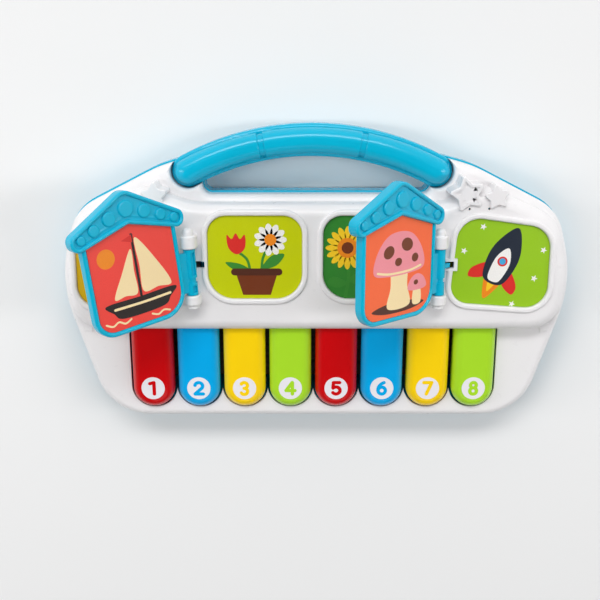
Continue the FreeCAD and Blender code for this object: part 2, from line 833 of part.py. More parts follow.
star_rise = "(plateau_height + star_height - deck_height + wall)"
additions = []
big_star, big_star_outline = raised_star(
    "big_star", big_star_shares, "big_star_radius", "star_tip_radius", "big_star_turn_angle", deck_under,
    star_rise)
additions.append(big_star)
for name, shares in (("plain_star", plain_star_shares), ("second_star", second_star_shares)):
    solid, _ = raised_star(name, shares, f"{name}_radius", "star_tip_radius", f"{name}_turn_angle",
                           deck_under, star_rise)
    additions.append(solid)
for name, side in sides.items():
    x, y = small_star_shares
    solid, _ = raised_star(f"small_star_{name}", (side * x, y), "small_star_radius", "small_star_tip_radius",
                           f"{side} * small_star_turn_angle", deck_under, "wall + small_star_height",
                           "small_star_edge_radius")
    additions.append(solid)

star_x, star_y = across(big_star_shares[0]), along(big_star_shares[1])
star_top = "(plateau_height + star_height)"
star_core = prism("star_core", inset("star_core_outline", big_star_outline, "wall"), "parting_height",
                  f"{star_top} - star_recess - wall - parting_height")
place(star_core, star_x, star_y, "parting_height")
star_field = prism("star_field", inset("star_field_outline", big_star_outline, "star_rim"),
                   "plateau_height + star_height - star_recess", "star_recess + overrun")
place(star_field, star_x, star_y, "plateau_height + star_height - star_recess")
front_cuts = [star_core, star_field]
mark_outline = outline("star_mark_outline", [
    (f"{math.cos(math.radians(angle))} * mark_radius", f"{math.sin(math.radians(angle))} * mark_radius",
     "mark_round") for angle in (360 * corner / 3 for corner in range(3))])
for index in range(5):
    angle = value("mark_first_angle") + 72 * index
    open_mark = index in (0, 4)
    depth = "plateau_height" if open_mark else "star_recess + mark_depth"
    mark = prism(f"star_mark_{index + 1}", mark_outline, "0", f"{depth} + overrun")
    turn = FreeCAD.Rotation(FreeCAD.Vector(0, 0, 1), angle + 180)
    front_cuts.append(place(
        mark, f"{star_x} + {math.cos(math.radians(angle))} * mark_circle",
        f"{star_y} + {math.sin(math.radians(angle))} * mark_circle", f"{star_top} - ({depth})", turn))
for number, (x, y) in enumerate(sound_hole_shares, start=1):
    front_cuts.append(rod(f"sound_hole_{number}", "sound_hole_radius", "wall + 2 * overrun",
                          across(x), along(y), f"{plateau_under} - overrun"))

for number, (x, y) in enumerate(housing_screw_places, start=1):
    under = deck_under if y < plateau_shares[0][1] else plateau_under
    post = rod(f"front_post_{number}", "post_radius", f"{under} + wall / 2 - parting_height",
               across(x), along(y), "parting_height")
    additions.append(shared(f"front_post_inside_{number}", [post, front_solid]))
    front_cuts.append(rod(f"front_hole_{number}", "screw_radius + screw_fit", "screw_bite + overrun",
                          across(x), along(y), "parting_height - overrun"))

rib_height = f"{plateau_under} + wall / 2 - axle_height + rib_drop"
end_rib_x = f"({key_span} / 2 + rib_fit + rib_thickness / 2)"
ribs = [(-1, "rib_thickness"), (0, "key_pitch - key_width - 2 * rib_fit"), (1, "rib_thickness")]
for number, (side, thickness) in enumerate(ribs, start=1):
    additions.append(box(f"axle_rib_{number}", (thickness, "rib_width", rib_height),
                         f"{side} * {end_rib_x} - key_shift", "axle_y", "axle_height - rib_drop"))
axle_half = f"({end_rib_x} + rib_thickness)"
axle_start = f"(-{axle_half} - key_shift)"
front_cuts.append(rod("axle_hole", "axle_radius + axle_hold", f"2 * {axle_half} + 2 * overrun",
                      f"{axle_start} - overrun", "axle_y", "axle_height", along_x))

collar_outer = rod("collar_outer", "speaker_radius + collar_fit + collar_wall", "collar_height + wall / 2",
                   "speaker_x", "speaker_y", f"{plateau_under} - collar_height")
collar_inner = rod("collar_inner", "speaker_radius + collar_fit", "collar_height + overrun",
                   "speaker_x", "speaker_y", f"{plateau_under} - collar_height - overrun")
additions.append(cut("collar", collar_outer, [collar_inner]))

lamp_x, lamp_y = across(second_star_shares[0]), along(second_star_shares[1])
lamp_top = "(plateau_height + star_height - wall)"
front_cuts.append(rod("lamp_hole", "lamp_radius + lamp_fit", "plateau_height", lamp_x, lamp_y,
                      f"{lamp_top} - plateau_height"))


# Hinge places: the axis of each door runs along its own +Y

hinge_places = {}
for name, side in sides.items():
    lean = FreeCAD.Rotation(FreeCAD.Vector(0, 0, 1), value(f"hinge_lean_angle_{name}"))
    hinge_places[name] = (f"hinge_x_{name}", lean)


def on_hinge(name, thing, turn=FreeCAD.Rotation()):
    x, lean = hinge_places[name]
    return place(thing, x, "hinge_y", "hinge_height", lean * turn)


for name, side in sides.items():
    spans = {"top": ("barrel_top + barrel_fit", "knuckle_top - barrel_top - barrel_fit"),
             "low": ("-knuckle_low", "knuckle_low - barrel_low - barrel_fit")}
    for level, (start, length) in spans.items():
        knuckle = rod(f"knuckle_{level}_{name}", "knuckle_radius", length, "0", start, "0", along_y)
        foot = box(f"knuckle_foot_{level}_{name}", ("2 * knuckle_radius", length, "hinge_rise + wall / 2"),
                   "0", f"{start} + ({length}) / 2", "-hinge_rise - wall / 2")
        pair = fuse(f"knuckle_pair_{level}_{name}", [knuckle, foot])
        rounded = soften(f"knuckle_round_{level}_{name}", pair, "knuckle_edge_radius",
                         [start, f"{start} + ({length})"], "Y")
        additions.append(on_hinge(name, rounded))
    stub = rod(f"hinge_stub_{name}", "stub_radius", "stub_height", "0", "-knuckle_low - stub_height", "0",
               along_y)
    stub_foot = box(f"hinge_stub_foot_{name}", ("2 * stub_radius", "stub_height", "hinge_rise + wall / 2"),
                    "0", "-knuckle_low - stub_height / 2", "-hinge_rise - wall / 2")
    additions.append(on_hinge(name, fuse(f"hinge_stub_pair_{name}", [stub, stub_foot])))
    lean = f"hinge_lean_angle_{name}"
    front_cuts.append(rod(
        f"pin_hole_{name}", "pin_radius + pin_hold", "knuckle_top + knuckle_low + overrun",
        f"hinge_x_{name} + knuckle_low * sin({lean})", f"hinge_y - knuckle_low * cos({lean})", "hinge_height",
        hinge_places[name][1] * along_y))
    far = "slot_far" if side > 0 else "slot_near"
    slot = box(f"tab_slot_{name}", (f"slot_near + {far}", "slot_width", "2 * wall + 2 * ring_height"),
               f"hinge_x_{name} + ({far} - slot_near) / 2", "hinge_y + tab_y", f"{plateau_under} - wall / 2")
    front_cuts.append(slot)
    for end in (-1, 1):
        additions.append(box(
            f"switch_rib_{name}_{end + 2}", ("switch_length", "switch_rib", "switch_rib_drop + wall / 2"),
            f"hinge_x_{name}", f"hinge_y + tab_y + {end} * (switch_width + switch_rib) / 2",
            f"{plateau_under} - switch_rib_drop"))

bracket_size = ("bracket_end - bracket_start", "bracket_width", "card_recess + ring_height")
bracket_x = "hinge_x_right + (bracket_start + bracket_end) / 2"
additions.append(box("slot_bracket", bracket_size, bracket_x, "hinge_y + tab_y", card_floor))
front_dressed = fuse("front_dressed", [front_tray, *additions])
finish("front_shell", cut("front_shell", front_dressed, front_cuts))


# Printed cards in the windows

for number, picture in enumerate(pictures, start=1):
    edge = inset(f"window_card_outline_{number}", picture, "card_fit")
    card = prism(f"window_card_{number}", edge, card_floor, "card_thickness")
    if number == 4:
        notch_size = ("bracket_end - bracket_start + 2 * card_fit", "bracket_width + 2 * card_fit",
                      "card_thickness + 2 * overrun")
        notch = box("card_notch", notch_size, bracket_x, "hinge_y + tab_y", f"{card_floor} - overrun")
        card = cut("window_card_4_notched", card, [notch])
    finish(f"window_card_{number}", card)


# Keys: hollow levers on one axle

def attach(sketch, body, role, offset=None):
    plane = [item for item in body.Origin.OriginFeatures if item.Role == role][0]
    sketch.AttachmentSupport = [(plane, "")]
    sketch.MapMode = "FlatFace"
    if offset:
        bind(sketch, {"AttachmentOffset.Base.z": offset})
    return sketch


def feature(body, kind, name, profile, length, reverse=False):
    thing = body.newObject("PartDesign::" + kind, name)
    thing.Profile = profile
    thing.Reversed = reverse
    bind(thing, {"Length": length})
    document.recompute()
    return thing


def make_key(number, x):
    name = f"key_{number}"
    body = document.addObject("PartDesign::Body", name)
    top_edge = attach(key_outline(name + "_outline", "0", body), body, "XY_Plane", "key_low")
    block = feature(body, "Pad", name + "_block", top_edge, "key_top - key_low")
    level = value("key_top")
    rims = [f"Edge{i}" for i, edge in enumerate(block.Shape.Edges, start=1)
            if abs(edge.BoundBox.ZMin - level) < near]
    crown = body.newObject("PartDesign::Fillet", name + "_crown")
    crown.Base = (block, rims)
    bind(crown, {"Radius": "key_edge_radius"})
    document.recompute()
    inside = attach(key_outline(name + "_inside", "-key_wall", body), body, "XY_Plane", "key_low")
    feature(body, "Pocket", name + "_hollow", inside, "key_top - key_low - key_wall", True)
    left, right = "-pusher_length / 2", "pusher_length / 2"
    low, high = "-pusher_y - pusher_width / 2", "-pusher_y + pusher_width / 2"
    foot = outline(name + "_pusher_outline", [
        (left, low, "0"), (right, low, "0"), (right, high, "0"), (left, high, "0")], body)
    attach(foot, body, "XY_Plane", "board_top + dome_height")
    feature(body, "Pad", name + "_pusher", foot, "key_top - key_wall / 2 - board_top - dome_height")
    bore = body.newObject("Sketcher::SketchObject", name + "_bore_circle")
    attach(bore, body, "YZ_Plane")
    center = FreeCAD.Vector(value("axle_y"), value("axle_height"), 0)
    radius = value("axle_radius + axle_fit")
    circle = bore.addGeometry(Part.Circle(center, FreeCAD.Vector(0, 0, 1), radius), False)
    bore.addConstraint([
        Sketcher.Constraint("DistanceX", -1, 1, circle, 3, center.x),
        Sketcher.Constraint("DistanceY", -1, 1, circle, 3, center.y),
        Sketcher.Constraint("Radius", circle, radius)])
    for index, formula in enumerate(("axle_y", "axle_height", "axle_radius + axle_fit")):
        bore.setExpression(f"Constraints[{index}]", in_sheet(formula))
    drill = body.newObject("PartDesign::Pocket", name + "_bore")
    drill.Profile = bore
    drill.Midplane = True
    bind(drill, {"Length": "key_width + 2 * overrun"})
    document.recompute()
    place(body, x)
    finish(name, body)


for number, x in enumerate(key_places, start=1):
    make_key(number, x)
axle = rod("key_axle", "axle_radius", f"2 * {axle_half}", axle_start, "axle_y", "axle_height", along_x)
finish("key_axle", axle)


# Rubber domes, board and chip

for number, x in enumerate(key_places, start=1):
    skin = cone(f"dome_skin_{number}", "dome_radius", "dome_top_radius", "dome_height",
                x, "-pusher_y", "board_top")
    hollow = cone(f"dome_hollow_{number}", "dome_radius - dome_wall", "dome_top_radius - dome_wall",
                  "dome_height - 2 * dome_wall", x, "-pusher_y", "board_top")
    finish(f"rubber_dome_{number}", cut(f"rubber_dome_{number}", skin, [hollow]))

board_plate = box("board_plate", ("board_length", "board_width", "board_thickness"),
                  "-key_shift", "-board_y", board_under)
board_holes = [
    rod(f"board_hole_{number}", "screw_radius + screw_clear", "board_thickness + 2 * overrun", x, y,
        f"{board_under} - overrun")
    for number, (x, y) in enumerate(board_post_places, start=1)
]
finish("main_board", cut("main_board", board_plate, board_holes))
chip = cone("sound_chip", "chip_radius", "chip_top_radius", "chip_height", "-key_shift", "-chip_y",
            "board_top")
finish("sound_chip", chip)


# Screws: a pan head and a plain shank

def screw_up(name, x, y, head_bottom, length):
    head = rod(name + "_head", "screw_head_radius", "screw_head_height", x, y, head_bottom)
    shank = rod(name + "_shank", "screw_radius", f"{length} + screw_head_height", x, y, head_bottom)
    return fuse(name, [head, shank])


def screw_down(name, x, y, seat, length):
    head = rod(name + "_head", "screw_head_radius", "screw_head_height", x, y, seat)
    shank = rod(name + "_shank", "screw_radius", f"{length} + screw_head_height", x, y,
                f"{seat} - ({length})")
    return fuse(name, [head, shank])


group("housing_screws", [
    screw_up(f"housing_screw_{number}", across(x), along(y), "foot_height + screw_sink", screw_length)
    for number, (x, y) in enumerate(housing_screw_places, start=1)])
group("handle_screws", [
    screw_up(f"handle_screw_{name}", x, handle_end_y, "foot_height + screw_sink", screw_length)
    for name, x in handle_end_places.items()])
group("board_screws", [
    screw_down(f"board_screw_{number}", x, y, "board_top", "board_thickness + screw_bite - screw_fit")
    for number, (x, y) in enumerate(board_post_places, start=1)])


# Doors: house-shaped frames with a barrel, a switch tab and two cards

roof_mid = "(door_gap + door_width / 2)"


def door_face(name):
    free, hinge_side = "-(door_gap + door_width)", "-door_gap"
    corners = [
        (free, "-door_low", "door_free_radius"), (hinge_side, "-door_low", "door_hinge_radius"),
        (hinge_side, "door_shoulder", "0"), (f"-{roof_mid}", "door_peak", "0"), (free, "door_shoulder", "0"),
    ]
    return outline(name, corners)


def roof_face(name):
    near, far = f"-{roof_mid} + roof_half_width", f"-{roof_mid} - roof_half_width"
    corners = [
        (near, "roof_eave_low", "roof_eave_radius"), (near, "roof_eave_top", "roof_eave_radius"),
        (f"-{roof_mid}", "roof_peak", "roof_peak_radius"), (far, "roof_eave_top", "roof_eave_radius"),
        (far, "roof_eave_low", "roof_eave_radius"), (f"-{roof_mid}", "roof_inner_peak", "roof_inner_radius"),
    ]
    return outline(name, corners)


def roof_discs(name):
    discs = []
    for index, (place_share, across_share, radius_share) in enumerate(disc_shares):
        for side in ((1,) if index == 0 else (-1, 1)):
            low = f"(roof_inner_peak + {place_share} * (roof_eave_low - roof_inner_peak))"
            high = f"(roof_peak + {place_share} * (roof_eave_top - roof_peak))"
            y = f"{low} + {across_share} * ({high} - {low})"
            x = f"-{roof_mid} + {side * place_share} * roof_half_width"
            disc = rod(f"{name}_disc_{index}_{side + 1}", f"{radius_share} * disc_radius",
                       "roof_recess + disc_height", x, y, "roof_rise - 2 * roof_recess")
            discs.append(soften(f"{name}_dome_{index}_{side + 1}", disc, "disc_edge_radius",
                                ["roof_rise - roof_recess + disc_height"]))
    return discs


def door_barrel(name, pockets):
    upper = rod(name + "_barrel_upper", "barrel_radius", "barrel_top + barrel_neck_top",
                "0", "-barrel_neck_top", "0", along_y)
    lower = rod(name + "_barrel_lower", "barrel_radius", "barrel_low - barrel_neck_low",
                "0", "-barrel_low", "0", along_y)
    neck = rod(name + "_barrel_neck", "barrel_neck_radius", "barrel_neck_low - barrel_neck_top", "0",
               "-barrel_neck_low", "0", along_y)
    reach = "door_gap + door_rim / 2"
    web = box(name + "_web", (reach, "barrel_top + barrel_low - 2 * pocket_margin", "barrel_web"),
              f"-({reach}) / 2", "(barrel_top - barrel_low) / 2", "-barrel_web / 2")
    barrel = fuse(name + "_barrel", [upper, lower, neck, web])
    if not pockets:
        return barrel
    spans = {"tall": ("-barrel_neck_top + pocket_margin", "barrel_top + barrel_neck_top - 2 * pocket_margin"),
             "small": ("-barrel_low + pocket_margin", "barrel_low - barrel_neck_low - 2 * pocket_margin")}
    hollows = [
        box(f"{name}_pocket_{size}", ("pocket_width", length, "barrel_radius"),
            "0", f"{start} + ({length}) / 2", "pocket_floor")
        for size, (start, length) in spans.items()
    ]
    return cut(name + "_barrel_cored", barrel, hollows)


def make_door(side_name):
    name = f"door_{side_name}"
    half = "door_thickness / 2"
    face, roof = door_face(name + "_face"), roof_face(name + "_roof_face")
    plate = prism(name + "_plate", face, f"-{half}", "door_thickness")
    field = inset(name + "_field", face, "door_rim")
    front_recess = prism(name + "_front_recess", field, f"{half} - door_recess", "door_recess + overrun")
    back_recess = prism(name + "_back_recess", field, f"-{half} - overrun", "door_recess + overrun")
    framed = soften(name + "_framed", cut(name + "_recessed", plate, [front_recess, back_recess]),
                    "door_edge_radius", [f"-{half}", half])
    roof_block = prism(name + "_roof_block", roof, f"-{half}", f"{half} + roof_rise")
    roof_field = prism(name + "_roof_field", inset(name + "_roof_inset", roof, "roof_rim"),
                       "roof_rise - roof_recess", "roof_recess + overrun")
    roofed = soften(name + "_roof", cut(name + "_roof_recessed", roof_block, [roof_field]),
                    "roof_edge_radius", [f"-{half}", "roof_rise"])
    tab = box(name + "_tab", ("tab_reach - tab_thickness / 2", "tab_width", "tab_thickness"),
              "(tab_reach - tab_thickness / 2) / 2", "0", "-tab_thickness / 2")
    tip = rod(name + "_tab_tip", "tab_thickness / 2", "tab_width", "tab_reach - tab_thickness / 2",
              "-tab_width / 2", "0", along_y)
    lever = fuse(name + "_lever", [tab, tip])
    turn = FreeCAD.Rotation(FreeCAD.Vector(0, 1, 0), value(f"tab_turn_angle_{side_name}"))
    place(lever, "0", "tab_y", "0", turn)
    house_turn = FreeCAD.Rotation(FreeCAD.Vector(0, 0, 1), value(f"door_turn_angle_{side_name}"))
    house = fuse(name + "_house", [framed, roofed, *roof_discs(name)])
    house.Placement = FreeCAD.Placement(FreeCAD.Vector(), house_turn)
    pieces = [house, door_barrel(name, side_name == "left"), lever]
    bore = rod(name + "_bore", "pin_radius + pin_fit", "barrel_top + barrel_low + 2 * overrun",
               "0", "-barrel_low - overrun", "0", along_y)
    swing = FreeCAD.Rotation(FreeCAD.Vector(0, 1, 0), value("door_open_angle"))
    finish(name, on_hinge(side_name, cut(name, fuse(name + "_solid", pieces), [bore]), swing))

    card_edge = inset(name + "_card_edge", field, "card_fit")
    roof_edge = prism(name + "_roof_room", inset(name + "_roof_wide", roof, "-card_fit"), "-door_thickness",
                      "2 * door_thickness")
    card_bottoms = {"card": f"{half} - door_recess", "back_card": f"-{half} + door_recess - card_thickness"}
    for side, bottom in card_bottoms.items():
        sheet_of_card = prism(f"{name}_{side}_sheet", card_edge, bottom, "card_thickness")
        card = cut(f"door_{side}_{side_name}", sheet_of_card, [roof_edge])
        finish(f"door_{side}_{side_name}", on_hinge(side_name, card, swing * house_turn))

    shaft = rod(f"hinge_pin_shaft_{side_name}", "pin_radius", "knuckle_top + knuckle_low - pin_fit", "0",
                "-knuckle_low + pin_fit", "0", along_y)
    head = rod(f"hinge_pin_head_{side_name}", "pin_head_radius", "pin_head_height", "0", "0", "0")
    domed = soften(f"hinge_pin_dome_{side_name}", head, "pin_head_round", ["pin_head_height"])
    place(domed, "0", "knuckle_top", "0", along_y)
    finish(f"hinge_pin_{side_name}", on_hinge(side_name, fuse(f"hinge_pin_{side_name}", [shaft, domed])))

    x = f"hinge_x_{side_name}"
    top = f"{plateau_under} - tab_dip - switch_fit"
    case = box(f"door_switch_case_{side_name}", ("switch_length", "switch_width", "switch_height"), x,
               "hinge_y + tab_y", f"{top} - switch_height")
    finish(f"door_switch_{side_name}", case)


for side_name in sides:
    make_door(side_name)


# Speaker and lamp under the plateau

rim = rod("speaker_rim", "speaker_radius", "speaker_rim", "speaker_x", "speaker_y",
          f"{plateau_under} - speaker_rim")
basket = cone("speaker_basket", "speaker_throat", "speaker_radius - speaker_rim", "speaker_depth",
              "speaker_x", "speaker_y", f"{plateau_under} - speaker_rim - speaker_depth")
magnet = rod("speaker_magnet", "magnet_radius", "magnet_height", "speaker_x", "speaker_y",
             f"{plateau_under} - speaker_rim - speaker_depth - magnet_height")
throat_z = f"{plateau_under} - speaker_rim - cone_depth"
mouth = cone("speaker_mouth", "speaker_throat - cone_wall", "cone_radius", "speaker_rim + cone_depth",
             "speaker_x", "speaker_y", throat_z)
finish("speaker", cut("speaker", fuse("speaker_solid", [rim, basket, magnet]), [mouth]))
paper = cone("cone_paper", "speaker_throat - cone_wall", "cone_radius", "speaker_rim + cone_depth",
             "speaker_x", "speaker_y", throat_z)
air = cone("cone_air", "speaker_throat - 2 * cone_wall", "cone_radius - cone_wall",
           "speaker_rim + cone_depth", "speaker_x", "speaker_y", f"{throat_z} + cone_wall")
finish("speaker_cone", cut("speaker_cone", paper, [air]))

lamp_body = rod("lamp_body", "lamp_radius", "lamp_length", lamp_x, lamp_y, f"{lamp_top} - lamp_length")
finish("lamp", soften("lamp", lamp_body, "lamp_radius - lamp_fit", [lamp_top]))


# Batteries, contacts, lid

cell_z = f"({floor_top} + bay_headroom + cell_radius)"
cells, contacts = [], []
for index in (-1, 0, 1):
    way = 1 if index else -1
    y = f"(bay_y + {index} * cell_pitch)"
    can = rod(f"cell_can_{index + 2}", "cell_radius", "cell_length", "-cell_length / 2", y, cell_z, along_x)
    start = "cell_length / 2" if way > 0 else "-cell_length / 2 - nub_length"
    nub = rod(f"cell_nub_{index + 2}", "nub_radius", "nub_length", start, y, cell_z, along_x)
    cells.append(fuse(f"cell_{index + 2}", [can, nub]))
    for end in (-1, 1):
        plate_x = f"{end} * (bay_length / 2 - contact_thickness / 2)"
        plate_size = ("contact_thickness", "contact_size", "contact_size")
        plate = box(f"contact_plate_{index + 2}_{end + 2}", plate_size, plate_x, y,
                    f"{cell_z} - contact_size / 2")
        lead = "nub_length" if end == way else "0"
        gap = f"((bay_length - cell_length) / 2 - contact_thickness - {lead})"
        bump_start = f"cell_length / 2 + {lead}" if end > 0 else f"-cell_length / 2 - {lead} - {gap}"
        bump = rod(f"contact_bump_{index + 2}_{end + 2}", "nub_radius", gap, bump_start, y, cell_z, along_x)
        contacts.append(fuse(f"contact_{index + 2}_{end + 2}", [plate, bump]))
group("batteries", cells)
group("battery_contacts", contacts)

lid = prism("lid_plate", battery_lid_outline("lid_outline", "lid_fit"), "foot_height", "lid_thickness")
lid_hole = rod("lid_hole", "screw_radius + screw_clear", "lid_thickness + 2 * overrun", "0", tongue_screw_y,
               "foot_height - overrun")
finish("battery_door", cut("battery_door", lid, [lid_hole]))
finish("battery_door_screw", screw_up("battery_door_screw", "0", tongue_screw_y,
                                      "foot_height - screw_head_height", "lid_screw_length"))


# Power switch: a slider through the back

knob_low = "(foot_height - knob_proud)"
knob_cap = box("knob_cap", ("knob_length", "knob_width", "knob_proud - knob_fit"),
               "power_x", "power_y", knob_low)
knob_stem = box("knob_stem", ("knob_stem_length", "knob_width", "knob_proud + wall"),
                "power_x", "power_y", knob_low)
finish("power_switch_knob", fuse("power_switch_knob", [knob_cap, knob_stem]))
finish("power_switch_body", box("power_switch_body", ("power_length", "power_width", "power_height"),
                                "power_x", "power_y", floor_top))


# Rubber feet

feet = []
for number, (x, y) in enumerate(foot_places, start=1):
    pad = rod(f"foot_pad_{number}", "foot_radius", "foot_height + foot_sink", "0", "0", "0")
    rounded = soften(f"foot_{number}", pad, "foot_edge_radius", ["0"])
    feet.append(place(rounded, across(x), along(y)))
group("rubber_feet", feet)


# Check every object, then write one file for each piece

document.recompute()
for thing in document.Objects:
    if "Invalid" in thing.State or "Error" in thing.State:
        raise RuntimeError(f"{thing.Name} failed: {thing.State}")
os.makedirs("parts", exist_ok=True)
for name, thing in finished.items():
    shape = thing.Shape
    if shape.isNull() or not shape.isValid() or not shape.Solids:
        raise RuntimeError(f"{name} has no valid solid")
    print(f"{name}: {len(shape.Solids)} solid(s), {shape.Volume:.0f} cubic millimetres")
for name, thing in finished.items():
    thing.Shape.exportStep(f"parts/{name}.step")
print(len(finished), "pieces written")
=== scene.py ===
import bmesh
import bpy
import json
import math
from mathutils import Matrix, Vector

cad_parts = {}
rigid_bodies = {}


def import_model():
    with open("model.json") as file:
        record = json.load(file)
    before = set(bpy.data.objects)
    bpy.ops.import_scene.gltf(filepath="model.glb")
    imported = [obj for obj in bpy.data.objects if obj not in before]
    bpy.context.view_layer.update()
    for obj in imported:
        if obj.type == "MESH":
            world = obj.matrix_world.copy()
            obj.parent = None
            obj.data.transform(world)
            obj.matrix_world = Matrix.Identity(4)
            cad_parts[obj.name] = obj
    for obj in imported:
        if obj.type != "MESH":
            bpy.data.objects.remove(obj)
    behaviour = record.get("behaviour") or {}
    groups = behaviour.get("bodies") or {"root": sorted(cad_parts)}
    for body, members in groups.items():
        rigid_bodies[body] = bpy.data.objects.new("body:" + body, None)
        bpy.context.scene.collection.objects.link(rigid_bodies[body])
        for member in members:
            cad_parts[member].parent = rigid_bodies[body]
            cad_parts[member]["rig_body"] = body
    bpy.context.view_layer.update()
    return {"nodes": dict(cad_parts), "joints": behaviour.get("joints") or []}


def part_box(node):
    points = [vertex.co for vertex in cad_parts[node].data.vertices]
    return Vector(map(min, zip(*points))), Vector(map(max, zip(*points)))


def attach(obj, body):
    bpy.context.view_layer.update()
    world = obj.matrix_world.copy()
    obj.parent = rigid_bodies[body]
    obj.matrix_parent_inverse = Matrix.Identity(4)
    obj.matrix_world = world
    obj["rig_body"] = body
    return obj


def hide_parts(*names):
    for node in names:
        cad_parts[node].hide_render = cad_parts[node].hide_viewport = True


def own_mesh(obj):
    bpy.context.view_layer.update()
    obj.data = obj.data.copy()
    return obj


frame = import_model()
nodes = frame["nodes"]
joints = {joint["name"]: joint for joint in frame["joints"]}
mm = 0.001
print("frame loaded:", len(nodes), "nodes")


def paint(red, green, blue):  # screen colour 0-255 to the linear colour that the shader takes
    def straighten(level):
        level = level / 255
        return level / 12.92 if level <= 0.04045 else ((level + 0.055) / 1.055) ** 2.4
    return (straighten(red), straighten(green), straighten(blue), 1.0)


def tint(colour, factor):
    return tuple(min(1.0, level * factor) for level in colour[:3]) + (1.0,)


# node helpers: a constant goes on its socket, an output is linked to it

def setInputs(tree, node, inputs):
    for label, value in inputs.items():
        if isinstance(value, bpy.types.NodeSocket):
            tree.links.new(value, node.inputs[label])
        else:
            node.inputs[label].default_value = value


def addNode(tree, kind, inputs, **settings):
    node = tree.nodes.new(kind)
    for label, value in settings.items():
        setattr(node, label, value)
    setInputs(tree, node, inputs)
    return node


def findNode(tree, kind):
    return next(node for node in tree.nodes if node.type == kind)


# material helpers: every finish reads Object coordinates, in metres

noiseSpan = (0.3, 0.7)  # where most of a noise's values lie
bumpDepth = 0.0001
surfaces = {  # a noise is cells per metre, detail and stretch; roughness goes below and above its middle
    "plastic": {"tone": (45, 3), "sheen": (260, 3), "skin": (1800, 2), "relief": 0.012,
                "below": 0.03, "above": 0.04, "coatRoughness": 0.06, "specular": 0.32},
    "card": {"tone": (30, 2), "sheen": (180, 3), "skin": (1400, 3), "relief": 0.06,
             "darker": 0.97, "lighter": 1.03, "screen": (2600, 1), "screenTint": 0.94,
             "roughness": 0.36, "below": 0.05, "above": 0.07,
             "coat": 0.08, "coatRoughness": 0.2, "specular": 0.3},
    "metal": {"tone": (120, 4, (1, 14, 14)), "sheen": (600, 3, (1, 9, 9)), "skin": (900, 2, (1, 10, 10)),
              "relief": 0.05, "darker": 0.85, "lighter": 1.1, "below": 0.1, "above": 0.12},
    "rubber": {"tone": (150, 5), "sheen": (500, 2), "skin": (1500, 3), "relief": 0.15,
               "darker": 1.0, "lighter": 1.35, "roughness": 0.71, "below": 0.09, "above": 0.09},
    "board": {"tracks": 60, "trackWidth": 0.06, "trackTint": 1.9, "lighter": 1.15,
              "sheen": (200, 2), "roughness": (0.3, 0.45), "relief": 0.2},
    "wrap": {"tone": (260, 4), "darker": 0.85, "lighter": 1.15, "roughness": (0.25, 0.4),
             "metallic": 0.4, "bandStart": 0.011},
}


def freshMaterial(name):
    material = bpy.data.materials.new(name)
    material.use_nodes = True
    tree = material.node_tree
    place = tree.nodes.new("ShaderNodeTexCoord").outputs["Object"]
    return material, tree, findNode(tree, "BSDF_PRINCIPLED"), place


def noiseOn(tree, place, scale, detail, stretch=None):
    if stretch:
        place = addNode(tree, "ShaderNodeMapping", {"Vector": place, "Scale": stretch}).outputs["Vector"]
    texture = addNode(tree, "ShaderNodeTexNoise", {"Vector": place, "Scale": scale, "Detail": detail})
    return texture.outputs["Fac"]


def spread(tree, factor, low=0.0, high=1.0):
    return addNode(tree, "ShaderNodeMapRange", {
        "Value": factor, "From Min": noiseSpan[0], "From Max": noiseSpan[1],
        "To Min": low, "To Max": high}).outputs["Result"]


def blendColours(tree, factor, first, second):
    mix = addNode(tree, "ShaderNodeMix", {"Factor": factor, "A": first, "B": second}, data_type="RGBA")
    return mix.outputs["Result"]


def twoTone(tree, factor, colour, darker, lighter):
    return blendColours(tree, factor, tint(colour, darker), tint(colour, lighter))


def addBump(tree, shader, height, strength):
    bump = addNode(tree, "ShaderNodeBump", {"Height": height, "Strength": strength, "Distance": bumpDepth})
    setInputs(tree, shader, {"Normal": bump.outputs["Normal"]})


def addSkin(tree, shader, place, rules, roughness):  # uneven sheen and fine relief
    sheen = spread(tree, noiseOn(tree, place, *rules["sheen"]),
                   roughness - rules["below"], roughness + rules["above"])
    setInputs(tree, shader, {"Roughness": sheen})
    addBump(tree, shader, noiseOn(tree, place, *rules["skin"]), rules["relief"])


def mouldedPlastic(name, colour, roughness, coat, mottle=0.02):
    material, tree, shader, place = freshMaterial(name)
    rules = surfaces["plastic"]
    flow = spread(tree, noiseOn(tree, place, *rules["tone"]))  # flow marks of the moulding, 20 mm wide
    setInputs(tree, shader, {
        "Base Color": twoTone(tree, flow, colour, 1 - mottle, 1 + mottle), "Coat Weight": coat,
        "Coat Roughness": rules["coatRoughness"], "Specular IOR Level": rules["specular"]})
    addSkin(tree, shader, place, rules, roughness)
    return material


def printedCard(name, colour):
    material, tree, shader, place = freshMaterial(name)
    rules = surfaces["card"]
    screen = spread(tree, noiseOn(tree, place, *rules["screen"]))  # fine print screen
    wash = spread(tree, noiseOn(tree, place, *rules["tone"]))
    base = twoTone(tree, wash, colour, rules["darker"], rules["lighter"])
    setInputs(tree, shader, {
        "Base Color": blendColours(tree, screen, base, tint(colour, rules["screenTint"])),
        "Coat Weight": rules["coat"], "Coat Roughness": rules["coatRoughness"],
        "Specular IOR Level": rules["specular"]})
    addSkin(tree, shader, place, rules, rules["roughness"])
    return material


def plainMetal(name, colour, roughness=0.34):
    material, tree, shader, place = freshMaterial(name)
    rules = surfaces["metal"]
    streaks = spread(tree, noiseOn(tree, place, *rules["tone"]))
    setInputs(tree, shader, {
        "Base Color": twoTone(tree, streaks, colour, rules["darker"], rules["lighter"]), "Metallic": 1.0})
    addSkin(tree, shader, place, rules, roughness)
    return material


